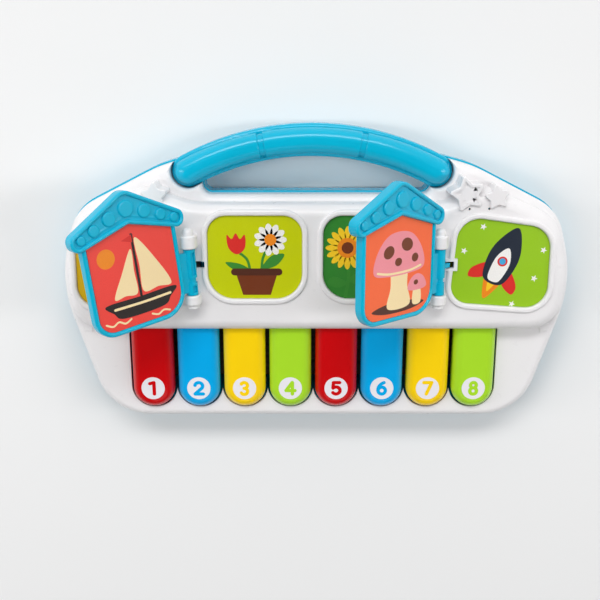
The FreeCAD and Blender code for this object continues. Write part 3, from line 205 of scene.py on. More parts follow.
def softRubber(name, colour):
    material, tree, shader, place = freshMaterial(name)
    rules = surfaces["rubber"]
    dust = spread(tree, noiseOn(tree, place, *rules["tone"]))
    setInputs(tree, shader, {"Base Color": twoTone(tree, dust, colour, rules["darker"], rules["lighter"])})
    addSkin(tree, shader, place, rules, rules["roughness"])
    return material


def circuitBoard(name, colour):
    material, tree, shader, place = freshMaterial(name)
    rules = surfaces["board"]
    tracks = addNode(tree, "ShaderNodeTexBrick", {
        "Vector": place, "Scale": rules["tracks"], "Mortar Size": rules["trackWidth"], "Color1": colour,
        "Color2": tint(colour, rules["lighter"]), "Mortar": tint(colour, rules["trackTint"])})
    sheen = spread(tree, noiseOn(tree, place, *rules["sheen"]), *rules["roughness"])
    setInputs(tree, shader, {"Base Color": tracks.outputs["Color"], "Roughness": sheen})
    addBump(tree, shader, tracks.outputs["Fac"], rules["relief"])
    return material


def batteryWrap(name, colour, band):
    material, tree, shader, place = freshMaterial(name)
    rules = surfaces["wrap"]
    along = addNode(tree, "ShaderNodeSeparateXYZ", {"Vector": place}).outputs["X"]
    onBand = addNode(tree, "ShaderNodeMath", {0: along, 1: rules["bandStart"]}, operation="GREATER_THAN")
    scuff = spread(tree, noiseOn(tree, place, *rules["tone"]))
    dark = twoTone(tree, scuff, colour, rules["darker"], rules["lighter"])
    setInputs(tree, shader, {
        "Base Color": blendColours(tree, onBand.outputs["Value"], dark, band),
        "Roughness": spread(tree, scuff, *rules["roughness"]), "Metallic": rules["metallic"]})
    return material


finishes = {
    "white": mouldedPlastic("whiteHousing", paint(237, 235, 236), 0.3, 0.12, 0.008),
    "teal": mouldedPlastic("tealHousing", paint(0, 178, 212), 0.22, 0.12),
    "red": mouldedPlastic("redKey", paint(206, 3, 10), 0.16, 0.3),
    "blue": mouldedPlastic("blueKey", paint(0, 170, 235), 0.16, 0.3),
    "yellow": mouldedPlastic("yellowKey", paint(255, 212, 10), 0.16, 0.3),
    "green": mouldedPlastic("greenKey", paint(171, 223, 44), 0.16, 0.3),
    "black": mouldedPlastic("blackFitting", paint(38, 38, 40), 0.5, 0.0),
    "disc": mouldedPlastic("numberDiscInk", paint(236, 233, 238), 0.32, 0.1, 0.01),
    "steel": plainMetal("steelFitting", paint(190, 190, 194)),
    # painted shade: the dark grey of the screws' cross recesses
    "recessShade": plainMetal("screwRecessShade", paint(58, 58, 62), 0.5),
    "battery": batteryWrap("batteryWrap", paint(52, 52, 56), paint(196, 150, 62)),
    "board": circuitBoard("boardLacquer", paint(44, 30, 18)),
    "chip": mouldedPlastic("chipResin", paint(26, 26, 28), 0.36, 0.1),
    "lamp": mouldedPlastic("lampLens", paint(226, 60, 46), 0.12, 0.6),
    "foot": softRubber("footRubber", paint(62, 62, 66)),
    "dome": softRubber("domeRubber", paint(214, 214, 216)),
    "coneFibre": softRubber("coneFibre", paint(44, 42, 42)),
    "mustardCard": printedCard("mustardCard", paint(214, 174, 10)),
    "limeCard": printedCard("limeCard", paint(201, 210, 2)),
    "darkGreenCard": printedCard("darkGreenCard", paint(52, 134, 48)),
    "lightGreenCard": printedCard("lightGreenCard", paint(153, 201, 34)),
    "redCard": printedCard("redCard", paint(244, 72, 62)),
    "orangeCard": printedCard("orangeCard", paint(255, 110, 62)),
    "creamCard": printedCard("creamCard", paint(246, 232, 200)),
}
inks = {
    "cream": printedCard("creamInk", paint(255, 228, 176)),
    "white": printedCard("whiteInk", paint(246, 244, 240)),
    "black": printedCard("blackInk", paint(40, 34, 32)),
    "brown": printedCard("brownInk", paint(118, 56, 28)),
    "darkBrown": printedCard("darkBrownInk", paint(84, 44, 30)),
    "red": printedCard("redInk", paint(222, 48, 42)),
    "orange": printedCard("orangeInk", paint(244, 140, 30)),
    "yellow": printedCard("yellowInk", paint(254, 206, 40)),
    "pink": printedCard("pinkInk", paint(246, 150, 160)),
    "navy": printedCard("navyInk", paint(36, 44, 58)),
    "leaf": printedCard("leafInk", paint(60, 140, 52)),
    "sky": printedCard("skyInk", paint(70, 170, 220)),
}
print("materials made:", len(finishes) + len(inks))


# CAD pieces: moulded, round and metal ones get merged, smooth copies, flat ones keep their mesh

mergeRules = {"weldGap": 8e-6, "sliver": 1e-5, "sharpest": 30, "flatWeight": 80}  # metres, degrees


def giveFinish(obj, material):
    obj.data.materials.clear()
    obj.data.materials.append(material)


def bakedMesh(obj):  # the object's mesh with its modifiers applied
    return bpy.data.meshes.new_from_object(obj.evaluated_get(bpy.context.evaluated_depsgraph_get()))


def smoothCopy(name, material):
    mesh = nodes[name].data.copy()
    stale = mesh.attributes.get("custom_normal")  # normals of the loose triangles, wrong once merged
    if stale:
        mesh.attributes.remove(stale)
    work = bmesh.new()
    work.from_mesh(mesh)
    bmesh.ops.remove_doubles(work, verts=work.verts, dist=mergeRules["weldGap"])
    bmesh.ops.dissolve_degenerate(work, edges=work.edges, dist=mergeRules["sliver"])  # they show as specks
    work.to_mesh(mesh)
    work.free()
    mesh.shade_smooth()
    mesh.set_sharp_from_angle(angle=math.radians(mergeRules["sharpest"]))
    piece = bpy.data.objects.new(name + "Skin", mesh)
    bpy.context.scene.collection.objects.link(piece)
    flats = piece.modifiers.new("flats", "WEIGHTED_NORMAL")  # flat faces stay flat beside round edges
    flats.keep_sharp = True
    flats.weight = mergeRules["flatWeight"]
    piece.data = bakedMesh(piece)
    piece.modifiers.remove(flats)
    giveFinish(piece, material)
    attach(piece, nodes[name]["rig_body"])
    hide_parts(name)
    return piece


keyColours = ["red", "blue", "yellow", "green"] * 2
smoothFinish = {
    "front_shell": "white", "back_shell": "teal", "handle_cover": "teal", "battery_door": "teal",
    "door_left": "teal", "door_right": "teal", "hinge_pin_left": "white", "hinge_pin_right": "white",
    "rubber_feet": "foot", "batteries": "battery", "speaker": "steel", "key_axle": "steel",
    "housing_screws": "steel", "handle_screws": "steel", "board_screws": "steel",
    "battery_door_screw": "steel", "lamp": "lamp", "sound_chip": "chip", "speaker_cone": "coneFibre",
}
for number, colour in enumerate(keyColours, start=1):
    smoothFinish[f"key_{number}"] = colour
    smoothFinish[f"rubber_dome_{number}"] = "dome"
plainFinish = {
    "window_card_1": "mustardCard", "window_card_2": "limeCard", "window_card_3": "darkGreenCard",
    "window_card_4": "lightGreenCard", "door_card_left": "redCard", "door_card_right": "orangeCard",
    "door_back_card_left": "creamCard", "door_back_card_right": "creamCard", "main_board": "board",
    "door_switch_left": "black", "door_switch_right": "black", "power_switch_body": "black",
    "power_switch_knob": "black", "battery_contacts": "steel",
}
skins = {name: smoothCopy(name, finishes[finish]) for name, finish in smoothFinish.items()}
for number in range(1, len(keyColours) + 1):  # each rubber dome's copy gets a mesh of its own
    low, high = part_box(f"rubber_dome_{number}")
    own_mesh(skins[f"rubber_dome_{number}"])
for name, finish in plainFinish.items():
    giveFinish(nodes[name], finishes[finish])
print("CAD pieces dressed:", len(smoothFinish) + len(plainFinish), "of", len(nodes))


# node trees for what repeats

facets = {"disc": 72, "petal": 24}


def startTree(name, inputs):
    tree = bpy.data.node_groups.new(name, "GeometryNodeTree")
    tree.is_modifier = True
    tree.interface.new_socket(name="Geometry", in_out="OUTPUT", socket_type="NodeSocketGeometry")
    for label, kind in inputs.items():
        tree.interface.new_socket(name=label, in_out="INPUT", socket_type="NodeSocket" + kind)
    return tree, tree.nodes.new("NodeGroupInput").outputs


def endTree(tree, given, geometry):
    solid = addNode(tree, "GeometryNodeRealizeInstances", {"Geometry": geometry})
    dressed = addNode(tree, "GeometryNodeSetMaterial", {
        "Geometry": solid.outputs["Geometry"], "Material": given["Material"]})
    addNode(tree, "NodeGroupOutput", {"Geometry": dressed.outputs["Geometry"]})
    return tree


def growMesh(tree, values, name, spots=()):
    holder = bpy.data.objects.new(name, bpy.data.meshes.new(name))
    holder.data.from_pydata(list(spots), [], [])
    bpy.context.scene.collection.objects.link(holder)
    modifier = holder.modifiers.new("grow", "NODES")
    modifier.node_group = tree
    for item in tree.interface.items_tree:
        if item.item_type == "SOCKET" and item.in_out == "INPUT" and item.name in values:
            modifier[item.identifier] = values[item.name]
    bpy.context.view_layer.update()
    mesh = bakedMesh(holder)
    holder.modifiers.remove(modifier)
    bpy.data.objects.remove(holder)
    return mesh


def discTree():
    tree, given = startTree("numberDisc", {
        "Radius": "Float", "Thickness": "Float", "Middle": "Vector", "Material": "Material"})
    coin = addNode(tree, "GeometryNodeMeshCylinder", {
        "Vertices": facets["disc"], "Radius": given["Radius"], "Depth": given["Thickness"]})
    move = addNode(tree, "GeometryNodeTransform", {
        "Geometry": coin.outputs["Mesh"], "Translation": given["Middle"]})
    return endTree(tree, given, move.outputs["Geometry"])


def petalTree():
    tree, given = startTree("petalRing", {
        "Count": "Int", "Ring": "Float", "Petal": "Vector", "Thickness": "Float", "Material": "Material"})
    ring = addNode(tree, "GeometryNodeMeshCircle", {"Vertices": given["Count"], "Radius": given["Ring"]})
    petal = addNode(tree, "GeometryNodeMeshCylinder", {
        "Vertices": facets["petal"], "Radius": 1.0, "Depth": given["Thickness"]})
    shape = addNode(tree, "GeometryNodeTransform", {
        "Geometry": petal.outputs["Mesh"], "Scale": given["Petal"]})
    spot = tree.nodes.new("GeometryNodeInputPosition")
    aim = addNode(tree, "FunctionNodeAlignEulerToVector", {"Vector": spot.outputs["Position"]})
    plant = addNode(tree, "GeometryNodeInstanceOnPoints", {
        "Points": ring.outputs["Mesh"], "Instance": shape.outputs["Geometry"],
        "Rotation": aim.outputs["Rotation"]})
    return endTree(tree, given, plant.outputs["Instances"])


def barTree():
    tree, given = startTree("barRow", {"Spots": "Geometry", "Size": "Vector", "Material": "Material"})
    bar = addNode(tree, "GeometryNodeMeshCube", {"Size": given["Size"]})
    plant = addNode(tree, "GeometryNodeInstanceOnPoints", {
        "Points": given["Spots"], "Instance": bar.outputs["Mesh"]})
    return endTree(tree, given, plant.outputs["Instances"])


discNodes = discTree()
petalNodes = petalTree()
barNodes = barTree()
print("node trees built: numberDisc, petalRing, barRow")


# flat print: shapes drawn in millimetres, each a thin raised layer of ink

layerStep = 0.03  # millimetres of ink per layer
steps = {"oval": 40, "curve": 8, "arc": 28, "cap": 10}


def ovalPoints(x, y, wide, high, turn=0, count=steps["oval"]):
    lean = math.radians(turn)
    points = []
    for step in range(count):
        angle = 2 * math.pi * step / count
        across, along = wide * math.cos(angle), high * math.sin(angle)
        points.append((x + across * math.cos(lean) - along * math.sin(lean),
                       y + across * math.sin(lean) + along * math.cos(lean)))
    return points


def curveBetween(a, b, c, d):  # from b up to c, on a smooth curve through all four
    shares = [step / steps["curve"] for step in range(steps["curve"])]
    return [tuple(0.5 * (2 * b + (c - a) * t + (2 * a - 5 * b + 4 * c - d) * t ** 2
                         + (3 * b - a - 3 * c + d) * t ** 3)) for t in shares]


def smoothLoop(points):  # closed curve through the points
    count = len(points)
    loop = []
    for index in range(count):
        loop += curveBetween(*(Vector(points[(index + shift) % count]) for shift in (-1, 0, 1, 2)))
    return loop


def smoothPath(points):  # open curve through the points
    last = len(points) - 1
    path = []
    for index in range(last):
        path += curveBetween(*(Vector(points[min(max(index + shift, 0), last)]) for shift in (-1, 0, 1, 2)))
    return path + [tuple(points[-1])]


def arcPath(x, y, radius, start, end):
    angles = [math.radians(start + (end - start) * step / steps["arc"]) for step in range(steps["arc"] + 1)]
    return [(x + radius * math.cos(angle), y + radius * math.sin(angle)) for angle in angles]


def ribbonLoop(path, width):  # a stroke with round ends, as one closed outline
    half = width / 2
    points = [Vector(point) for point in path]
    left, right = [], []
    for index, point in enumerate(points):
        way = points[min(index + 1, len(points) - 1)] - points[max(index - 1, 0)]
        side = Vector((-way.y, way.x)).normalized() * half
        left.append(point + side)
        right.append(point - side)

    def cap(centre, rim):
        start = math.atan2((rim - centre).y, (rim - centre).x)
        angles = [start - math.pi * step / steps["cap"] for step in range(1, steps["cap"])]
        return [centre + half * Vector((math.cos(angle), math.sin(angle))) for angle in angles]
    loop = left + cap(points[-1], left[-1]) + right[::-1] + cap(points[0], right[0])
    return [tuple(point) for point in loop][::-1]


def inkSolid(work, loop, high, index, hole=None):  # from the card's face up to the given height
    def wall(points, inward):
        bottom = [work.verts.new((x, y, 0.0)) for x, y in points]
        top = [work.verts.new((x, y, high)) for x, y in points]
        count = len(points)
        for step in range(count):
            ring = [bottom[step], bottom[(step + 1) % count], top[(step + 1) % count], top[step]]
            work.faces.new(ring[::-1] if inward else ring).material_index = index
        return bottom, top
    area = sum(a[0] * b[1] - b[0] * a[1] for a, b in zip(loop, loop[1:] + loop[:1]))
    loop = loop if area > 0 else loop[::-1]
    bottom, top = wall(loop, False)
    if hole is None:
        work.faces.new(bottom[::-1]).material_index = index
        work.faces.new(top).material_index = index
        return
    innerBottom, innerTop = wall(hole, True)
    count = len(loop)
    for step in range(count):
        following = (step + 1) % count
        for ring in ([top[step], top[following], innerTop[following], innerTop[step]],
                     [bottom[following], bottom[step], innerBottom[step], innerBottom[following]]):
            work.faces.new(ring).material_index = index


def meshFrom(work, name, materials):
    mesh = bpy.data.meshes.new(name)
    work.to_mesh(mesh)
    work.free()
    for material in materials:
        mesh.materials.append(material)
    return mesh


def finishPiece(name, mesh, matrix, body):
    mesh.transform(matrix)
    mesh.update()
    piece = bpy.data.objects.new(name, mesh)
    bpy.context.scene.collection.objects.link(piece)
    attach(piece, body)


def printPicture(name, shapes, matrix, body):
    names = sorted({ink for ink, layer, loop in shapes})
    work = bmesh.new()
    for ink, layer, loop in shapes:
        inkSolid(work, loop, layerStep * (layer + 1), names.index(ink))
    mesh = meshFrom(work, name, [inks[ink] for ink in names])
    finishPiece(name, mesh, matrix @ Matrix.Scale(mm, 4), body)


def printPetals(name, flower, matrix, body):
    thickness = layerStep * (flower["layer"] + 1)
    mesh = growMesh(petalNodes, {
        "Count": flower["count"], "Ring": flower["ring"], "Petal": (*flower["petal"], 1.0),
        "Thickness": thickness, "Material": inks[flower["ink"]]}, name)
    lift = Matrix.Translation((*flower["spot"], thickness / 2))
    finishPiece(name, mesh, matrix @ Matrix.Scale(mm, 4) @ lift, body)


# underside: dark crosses of painted shade in the screw recesses, grip ribs of the battery door

screwMark = {"length": 3.4, "width": 0.9, "depth": 0.1, "acrossDepth": 0.12, "apart": 6.0, "level": 0.01}
gripRibs = {"count": 5, "length": 20.0, "width": 1.1, "height": 0.8, "start": 6.0, "pitch": 2.6}


def midway(values):
    return (min(values) + max(values)) / 2


def headSpots(name):  # middle of each screw head, from its lowest ring of points
    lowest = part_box(name)[0].z
    groups = []
    for spot in (vertex.co.copy() for vertex in nodes[name].data.vertices):
        if spot.z > lowest + screwMark["level"] * mm:
            continue
        home = next((group for group in groups if (group[0] - spot).length < screwMark["apart"] * mm), None)
        if home:
            home.append(spot)
        else:
            groups.append([spot])
    return [(midway([spot.x for spot in group]), midway([spot.y for spot in group]), lowest)
            for group in groups]


heads = headSpots("housing_screws") + headSpots("handle_screws") + headSpots("battery_door_screw")
# each cross is a pair of thin dark bars, painted shade where the screw head's recess is
for name, size in (("screwCross_along", ("length", "width", "depth")),
                   ("screwCross_across", ("width", "length", "acrossDepth"))):
    cross = growMesh(barNodes, {"Size": tuple(screwMark[label] * mm for label in size),
                                "Material": finishes["recessShade"]}, name, heads)
    finishPiece(name, cross, Matrix.Identity(4), "housing")
low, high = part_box("battery_door")
ribSpots = [((low.x + high.x) / 2, low.y + (gripRibs["start"] + gripRibs["pitch"] * step) * mm, low.z)
            for step in range(gripRibs["count"])]
ribs = growMesh(barNodes, {"Size": tuple(gripRibs[label] * mm for label in ("length", "width", "height")),
                           "Material": finishes["teal"]}, "batteryDoorRibs", ribSpots)
finishPiece("batteryDoorRibs", ribs, Matrix.Identity(4), "housing")
print("underside marked:", len(heads), "screw heads")


# number discs and numerals on the keys

numberPlate = {"radius": 7.5, "thickness": 0.12, "fromFront": 13.8, "height": 7.8, "stroke": 2.25,
               "widen": 1.06, "ink": 0.05, "inkStep": 0.004, "ringPoints": 48}
numeralPaths = {  # strokes in a box one high, from the foot up
    1: [[(-0.24, 0.9), (0.08, 1.0)], [(0.08, 1.0), (0.08, 0.0)]],
    2: [arcPath(0, 0.7, 0.3, 168, -38) + [(-0.3, 0.0)], [(-0.3, 0.0), (0.33, 0.0)]],
    3: [arcPath(-0.03, 0.745, 0.255, 148, -90), arcPath(-0.03, 0.225, 0.265, 90, -150)],
    4: [[(0.14, 1.0), (-0.33, 0.3)], [(-0.33, 0.3), (0.36, 0.3)], [(0.16, 1.0), (0.16, 0.0)]],
    5: [[(0.27, 1.0), (-0.2, 1.0)], [(-0.2, 1.0), (-0.24, 0.55)], arcPath(0, 0.31, 0.31, 138, -142)],
    6: [smoothPath([(-0.3, 0.3), (-0.25, 0.6), (-0.06, 0.86), (0.16, 1.0)])],
    7: [[(-0.3, 1.0), (0.31, 1.0)], [(0.31, 1.0), (-0.08, 0.0)]],
}
numeralRings = {6: [(0, 0.3, 0.3)], 8: [(0, 0.77, 0.235), (0, 0.265, 0.275)]}  # x, y, radius


def numeralOutlines(number):  # outline and hole of each stroke, in millimetres
    tall, stroke = numberPlate["height"], numberPlate["stroke"]
    outlines = []
    for path in numeralPaths.get(number, []):
        sized = [(x * tall * numberPlate["widen"], (y - 0.5) * tall) for x, y in path]
        outlines.append((ribbonLoop(sized, stroke), None))
    for x, y, radius in numeralRings.get(number, []):
        outlines.append([ovalPoints(x * tall, (y - 0.5) * tall, reach, reach, count=numberPlate["ringPoints"])
                         for reach in (radius * tall + stroke / 2, radius * tall - stroke / 2)])
    return outlines


for number, colour in enumerate(keyColours, start=1):
    low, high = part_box(f"key_{number}")
    centre = Vector(((low.x + high.x) / 2, low.y + numberPlate["fromFront"] * mm, high.z))
    plateTop = numberPlate["thickness"] * mm
    disc = growMesh(discNodes, {
        "Radius": numberPlate["radius"] * mm, "Thickness": plateTop,
        "Middle": tuple(centre + Vector((0, 0, plateTop / 2))), "Material": finishes["disc"]},
        f"numberDisc_{number}")
    finishPiece(f"numberDisc_{number}", disc, Matrix.Identity(4), f"key_{number}")
    work = bmesh.new()
    for layer, (outline, hole) in enumerate(numeralOutlines(number), start=1):
        inkSolid(work, outline, numberPlate["ink"] + numberPlate["inkStep"] * layer, 0, hole)
    mesh = meshFrom(work, f"numeral_{number}", [finishes[colour]])
    spot = Matrix.Translation(centre + Vector((0, 0, plateTop))) @ Matrix.Scale(mm, 4)
    finishPiece(f"numeral_{number}", mesh, spot, f"key_{number}")
print("number discs and numerals on", len(keyColours), "keys")


# pictures in the four windows: ink, layer and closed outline of each shape, in millimetres on the card

def windowMatrix(number):
    low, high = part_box(f"window_card_{number}")
    return Matrix.Translation(((low.x + high.x) / 2, (low.y + high.y) / 2, high.z))


kiteShapes = [
    ("red", 0, [(-4, 22), (10, 4), (-4, -16), (-18, 4)]),
    ("cream", 1, [(-4, 22), (-4, 4), (-18, 4)]),
    ("cream", 1, [(-4, 4), (10, 4), (-4, -16)]),
    ("black", 0, ribbonLoop(smoothPath([(-4, -16), (0, -19), (-3, -22), (2, -25)]), 0.7)),
]
flowerpotShapes = [
    ("leaf", 0, ribbonLoop(smoothPath([(4, -8), (5, 0), (9, 8)]), 1.6)),
    ("leaf", 0, ribbonLoop(smoothPath([(-3, -8), (-5, -1), (-11, 4)]), 1.6)),
    ("leaf", 1, smoothLoop([(4, -7), (13, -5), (18, 2), (10, 1)])),
    ("leaf", 1, smoothLoop([(-3, -8), (-12, -8), (-18, -3), (-9, -4)])),
    ("red", 1, smoothLoop([(-11, 2), (-6, 6), (-6, 14), (-9, 11.5), (-11.5, 15), (-14, 11.5), (-17, 14),
                           (-16, 6)])),
    ("brown", 1, [(-12, -9), (14, -9), (9.5, -23.5), (-7.5, -23.5)]),
    ("darkBrown", 2, ribbonLoop([(-12.5, -9), (14.5, -9)], 4.4)),
    ("orange", 3, ovalPoints(9.5, 11, 3.6, 3.6)),
]
daisyPetals = {"ink": "white", "layer": 2, "count": 11, "ring": 5.8, "petal": (4.2, 2.2), "spot": (9.5, 11)}
sunflowerShapes = [
    ("leaf", 0, ribbonLoop(smoothPath([(-14, -2), (-13, -12), (-15, -25)]), 2.0)),
    ("leaf", 1, smoothLoop([(-14, -16), (-22, -12), (-26, -16), (-20, -19)])),
    ("leaf", 1, smoothLoop([(-13, -14), (-6, -9), (0, -12), (-6, -17)])),
    ("orange", 3, ovalPoints(-14, 6, 6.2, 6.2)),
    ("brown", 4, ovalPoints(-14, 6, 3.6, 3.6)),
]
sunPetals = {"ink": "yellow", "layer": 2, "count": 16, "ring": 8.8, "petal": (4.6, 1.9), "spot": (-14, 6)}
rocketTilt = -24
rocketShapes = [
    ("orange", 0, smoothLoop([(-4.6, -11), (4.6, -11), (3.8, -17), (0, -24), (-3.8, -17)])),
    ("yellow", 1, smoothLoop([(-2.4, -11), (2.4, -11), (1.8, -15), (0, -19), (-1.8, -15)])),
    ("red", 1, smoothLoop([(-7, -2), (-15, -9), (-14.5, -15), (-6, -11)])),
    ("red", 1, smoothLoop([(7, -2), (15, -9), (14.5, -15), (6, -11)])),
    ("navy", 2, smoothLoop([(0, 24), (7, 14), (9.4, 2), (6, -12), (-6, -12), (-9.4, 2), (-7, 14)])),
    ("white", 3, smoothLoop([(0.5, 10.5), (5, 3), (5, -6), (3, -11.5), (-3, -11.5), (-4.6, -5), (-4, 4)])),
    ("red", 4, ovalPoints(0.4, 1.6, 3.1, 3.1)),
    ("sky", 5, ovalPoints(0.4, 1.6, 2.0, 2.0)),
]
skyStars = {"points": 5, "reach": 2.2, "notch": 0.95,
            "spots": [(-20, 16), (20, 18), (-24, -2), (23, 0), (18, -20)]}
for x, y in skyStars["spots"]:
    outline = []
    for step in range(2 * skyStars["points"]):
        reach, angle = skyStars["notch" if step % 2 else "reach"], math.pi * step / skyStars["points"]
        outline.append((x + reach * math.sin(angle), y + reach * math.cos(angle)))
    rocketShapes.append(("white", 0, outline))
tilt = Matrix.Rotation(math.radians(rocketTilt), 4, "Z")
printPicture("pictureKite", kiteShapes, windowMatrix(1), "housing")
printPicture("pictureFlowerpot", flowerpotShapes, windowMatrix(2), "housing")
printPetals("pictureDaisy", daisyPetals, windowMatrix(2), "housing")
printPicture("pictureSunflower", sunflowerShapes, windowMatrix(3), "housing")
printPetals("pictureSunPetals", sunPetals, windowMatrix(3), "housing")
printPicture("pictureRocket", rocketShapes, windowMatrix(4) @ tilt, "housing")
print("window pictures printed")


# pictures on the doors, drawn on the closed door and swung open with it

doorFace = {"openAngle": 41, "turn": {"left": 4.5, "right": 0}, "frontCard": 2.3, "midX": -37.9, "midY": 4.0}


def doorMatrix(side):
    joint = joints[f"door_{side}_swing"]
    axis = Vector(joint["axis"])
    lean = math.atan2(-axis.x, axis.y)
    swing = Matrix.Rotation(math.radians(doorFace["openAngle"]), 4, "Y")
    inPlane = Matrix.Rotation(math.radians(doorFace["turn"][side]), 4, "Z")
    spot = Matrix.Translation(Vector((doorFace["midX"], doorFace["midY"], doorFace["frontCard"])) * mm)
    return Matrix.Translation(joint["pos_m"]) @ Matrix.Rotation(lean, 4, "Z") @ swing @ inPlane @ spot


boatShapes = [
    ("orange", 0, ovalPoints(-17, 17, 5.6, 5.6)),
    ("cream", 1, smoothLoop([(3, 25), (3, 8), (3, -7), (13, -7), (22, -7), (15, 8)])),
    ("cream", 1, smoothLoop([(-1, 19), (-1, 6), (-1, -7), (-9, -7), (-16, -7), (-9, 6)])),
    ("black", 2, ribbonLoop([(1, 27), (1, -9)], 1.6)),
    ("red", 3, [(1, 27), (1, 22.5), (-6, 24.7)]),
    ("black", 2, smoothLoop([(-22, -9.5), (0, -9.5), (24, -9.5), (20, -15), (14, -19.5), (-12, -19.5),
                             (-18, -15)])),
    ("cream", 3, ribbonLoop(smoothPath([(-17, -13), (2, -13.4), (20, -13)]), 1.5)),
    ("cream", 0, ribbonLoop(smoothPath([(-24, -20), (-20, -22), (-16, -20.5), (-12, -22.5), (-8, -21)]),
                            1.1)),
    ("cream", 0, ribbonLoop(smoothPath([(6, -22), (10, -23.5), (14, -22), (18, -23.2)]), 1.1)),
]
toadstoolShapes = [
    ("darkBrown", 0, smoothLoop([(-22, -20), (-8, -17), (10, -17.5), (22, -20), (10, -23), (-10, -23)])),
    ("cream", 1, smoothLoop([(-6, 4), (6, 4), (7, -8), (9, -20), (-9, -20), (-7, -8)])),
    ("pink", 2, smoothLoop([(-21, 2), (-18, 14), (-8, 23), (8, 23), (18, 14), (21, 2), (10, -1), (-10, -1)])),
    ("cream", 3, ribbonLoop(smoothPath([(-18, 2.2), (-8, 0.4), (8, 0.4), (18, 2.2)]), 1.3)),
    ("brown", 3, ovalPoints(-9, 13, 4.4, 3.6, 20)),
    ("brown", 3, ovalPoints(6, 16, 4.8, 3.8, -15)),
    ("brown", 3, ovalPoints(13, 7.5, 2.8, 2.6)),
    ("brown", 3, ovalPoints(-1, 6.6, 2.9, 2.4)),
    ("cream", 1, smoothLoop([(13, -10), (18, -10), (19, -20), (12, -20)])),
    ("pink", 2, smoothLoop([(7.5, -11), (10, -5), (15.5, -2.6), (21, -5), (23.5, -11), (15.5, -12.4)])),
    ("brown", 3, ovalPoints(14.5, -7.6, 1.9, 1.5)),
]
rainbowShapes = [("sky", 0, ribbonLoop(arcPath(0, -12, radius, 20, 160), 3.0)) for radius in (27, 21, 15)]
behind = Matrix.Translation((0, 0, -2 * doorFace["frontCard"] * mm)) @ Matrix.Rotation(math.pi, 4, "Y")
for side, name, shapes, slotName in (("left", "pictureBoat", boatShapes, "red_card"),
                                     ("right", "pictureToadstool", toadstoolShapes, "orange_card")):
    face = doorMatrix(side)
    printPicture(name, shapes, face, f"door_{side}")
    printPicture(f"pictureRainbow_{side}", rainbowShapes, face @ behind, f"door_{side}")
print("door pictures printed")


# studio: pale floor, soft light, camera at the photograph's angle

studio = {"floorSize": 12.0, "paper": (0.88, 0.88, 0.88, 1), "paperRoughness": 0.9, "paperSpecular": 0.1,
          "paperStart": 0.45, "paperEnd": 1.2, "skyBack": 0.8, "skyTop": 0.08, "skyTilt": 0.5,
          "bandLow": 0.08, "bandHigh": 0.12, "lampAim": (0, 0, 0.03)}
lamps = {
    "backStrip": {"spot": (-0.24, 2.25, 2.5), "power": 55.0, "wide": 2.8, "high": 0.7},
    "leftStrip": {"spot": (-0.9, 0.1, 0.9), "power": 5.2, "wide": 0.15, "high": 1.0},
    "rightStrip": {"spot": (0.95, 0.1, 0.9), "power": 4.8, "wide": 0.15, "high": 1.0},
    "frontFill": {"spot": (0.1, -0.9, 1.1), "power": 1.0, "wide": 0.9, "high": 0.6},
}
photoView = {"aim": (-0.0103, -0.01655, 0.025), "distance": 0.546, "pitch": 15.0,
             "focalPixels": 849.0, "photoPixels": 600, "sensor": 36}


def paperFinish():  # the paper turns plain white away from the object
    material, tree, shader, place = freshMaterial("studioPaper")
    setInputs(tree, shader, {"Base Color": studio["paper"], "Roughness": studio["paperRoughness"],
                             "Specular IOR Level": studio["paperSpecular"]})
    away = addNode(tree, "ShaderNodeVectorMath", {0: place}, operation="LENGTH")
    fade = addNode(tree, "ShaderNodeMapRange", {
        "Value": away.outputs["Value"], "From Min": studio["paperStart"], "From Max": studio["paperEnd"]},
        interpolation_type="SMOOTHSTEP")
    rays = tree.nodes.new("ShaderNodeLightPath").outputs
    seen = rays["Is Camera Ray"]
    for way in ("Is Glossy Ray", "Is Transmission Ray"):
        adder = addNode(tree, "ShaderNodeMath", {0: seen, 1: rays[way]}, operation="ADD", use_clamp=True)
        seen = adder.outputs["Value"]
    share = addNode(tree, "ShaderNodeMath", {0: fade.outputs["Result"], 1: seen}, operation="MULTIPLY")
    plainWhite = tree.nodes.new("ShaderNodeEmission")
    mix = addNode(tree, "ShaderNodeMixShader", {
        "Fac": share.outputs["Value"], 1: shader.outputs["BSDF"], 2: plainWhite.outputs["Emission"]})
    setInputs(tree, findNode(tree, "OUTPUT_MATERIAL"), {"Surface": mix.outputs["Shader"]})
    return material


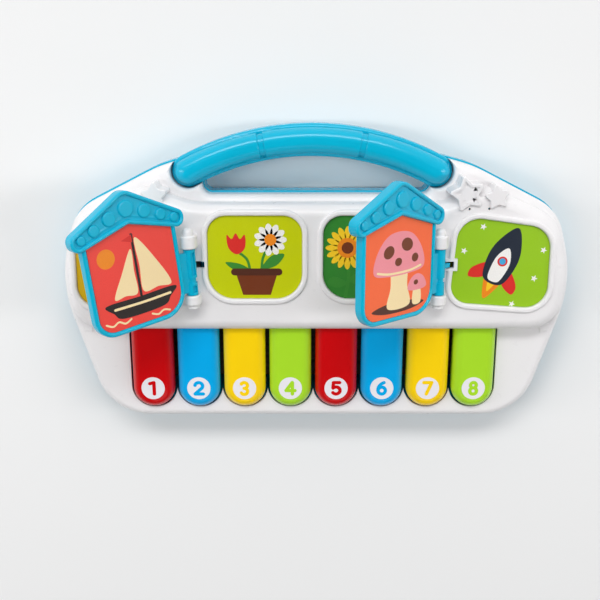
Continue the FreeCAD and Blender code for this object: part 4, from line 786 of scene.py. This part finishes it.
def lightSky(tree):
    place = tree.nodes.new("ShaderNodeTexCoord").outputs["Generated"]
    lean = addNode(tree, "ShaderNodeVectorMath", {0: place, 1: (0, -studio["skyTilt"], 1)},
                   operation="DOT_PRODUCT")
    wall = addNode(tree, "ShaderNodeMapRange", {  # brightest at the back wall, darkest overhead
        "Value": lean.outputs["Value"], "From Min": -studio["skyTilt"],
        "To Min": studio["skyBack"], "To Max": studio["skyTop"]})
    level = addNode(tree, "ShaderNodeSeparateXYZ", {"Vector": place})
    band = addNode(tree, "ShaderNodeMapRange", {  # white strip above the floor
        "Value": level.outputs["Z"], "From Min": studio["bandLow"], "From Max": studio["bandHigh"],
        "To Min": 1.0, "To Max": 0.0})
    most = addNode(tree, "ShaderNodeMath", {0: wall.outputs["Result"], 1: band.outputs["Result"]},
                   operation="MAXIMUM")
    setInputs(tree, findNode(tree, "BACKGROUND"), {
        "Color": (1, 1, 1, 1), "Strength": most.outputs["Value"]})


def softbox(name, spot, power, wide, high):
    lamp = bpy.data.lights.new(name, "AREA")
    lamp.shape = "RECTANGLE"
    lamp.size, lamp.size_y = wide, high
    lamp.energy = power
    obj = bpy.data.objects.new(name, lamp)
    obj.location = spot
    obj.rotation_euler = (Vector(studio["lampAim"]) - Vector(spot)).to_track_quat("-Z", "Y").to_euler()
    bpy.context.scene.collection.objects.link(obj)


floorMesh = bpy.data.meshes.new("studioFloor")
half = studio["floorSize"] / 2
floorCorners = [(-half, -half, 0), (half, -half, 0), (half, half, 0), (-half, half, 0)]
floorMesh.from_pydata(floorCorners, [], [(0, 1, 2, 3)])
floorMesh.materials.append(paperFinish())
floor = bpy.data.objects.new("studioFloor", floorMesh)
bpy.context.scene.collection.objects.link(floor)

world = bpy.data.worlds.new("studioSky")
bpy.context.scene.world = world
world.use_nodes = True
lightSky(world.node_tree)
for name, lamp in lamps.items():
    softbox(name, **lamp)

lens = bpy.data.cameras.new("photoCamera")
lens.sensor_width = photoView["sensor"]
lens.lens = photoView["focalPixels"] * photoView["sensor"] / photoView["photoPixels"]
camera = bpy.data.objects.new("photoCamera", lens)
pitch = math.radians(photoView["pitch"])
back = Vector((0, math.sin(pitch), math.cos(pitch)))
camera.location = Vector(photoView["aim"]) + back * photoView["distance"]
camera.rotation_euler = (-pitch, 0, 0)
bpy.context.scene.collection.objects.link(camera)
bpy.context.scene.camera = camera
bpy.context.scene.view_settings.view_transform = "Standard"
print("studio set")
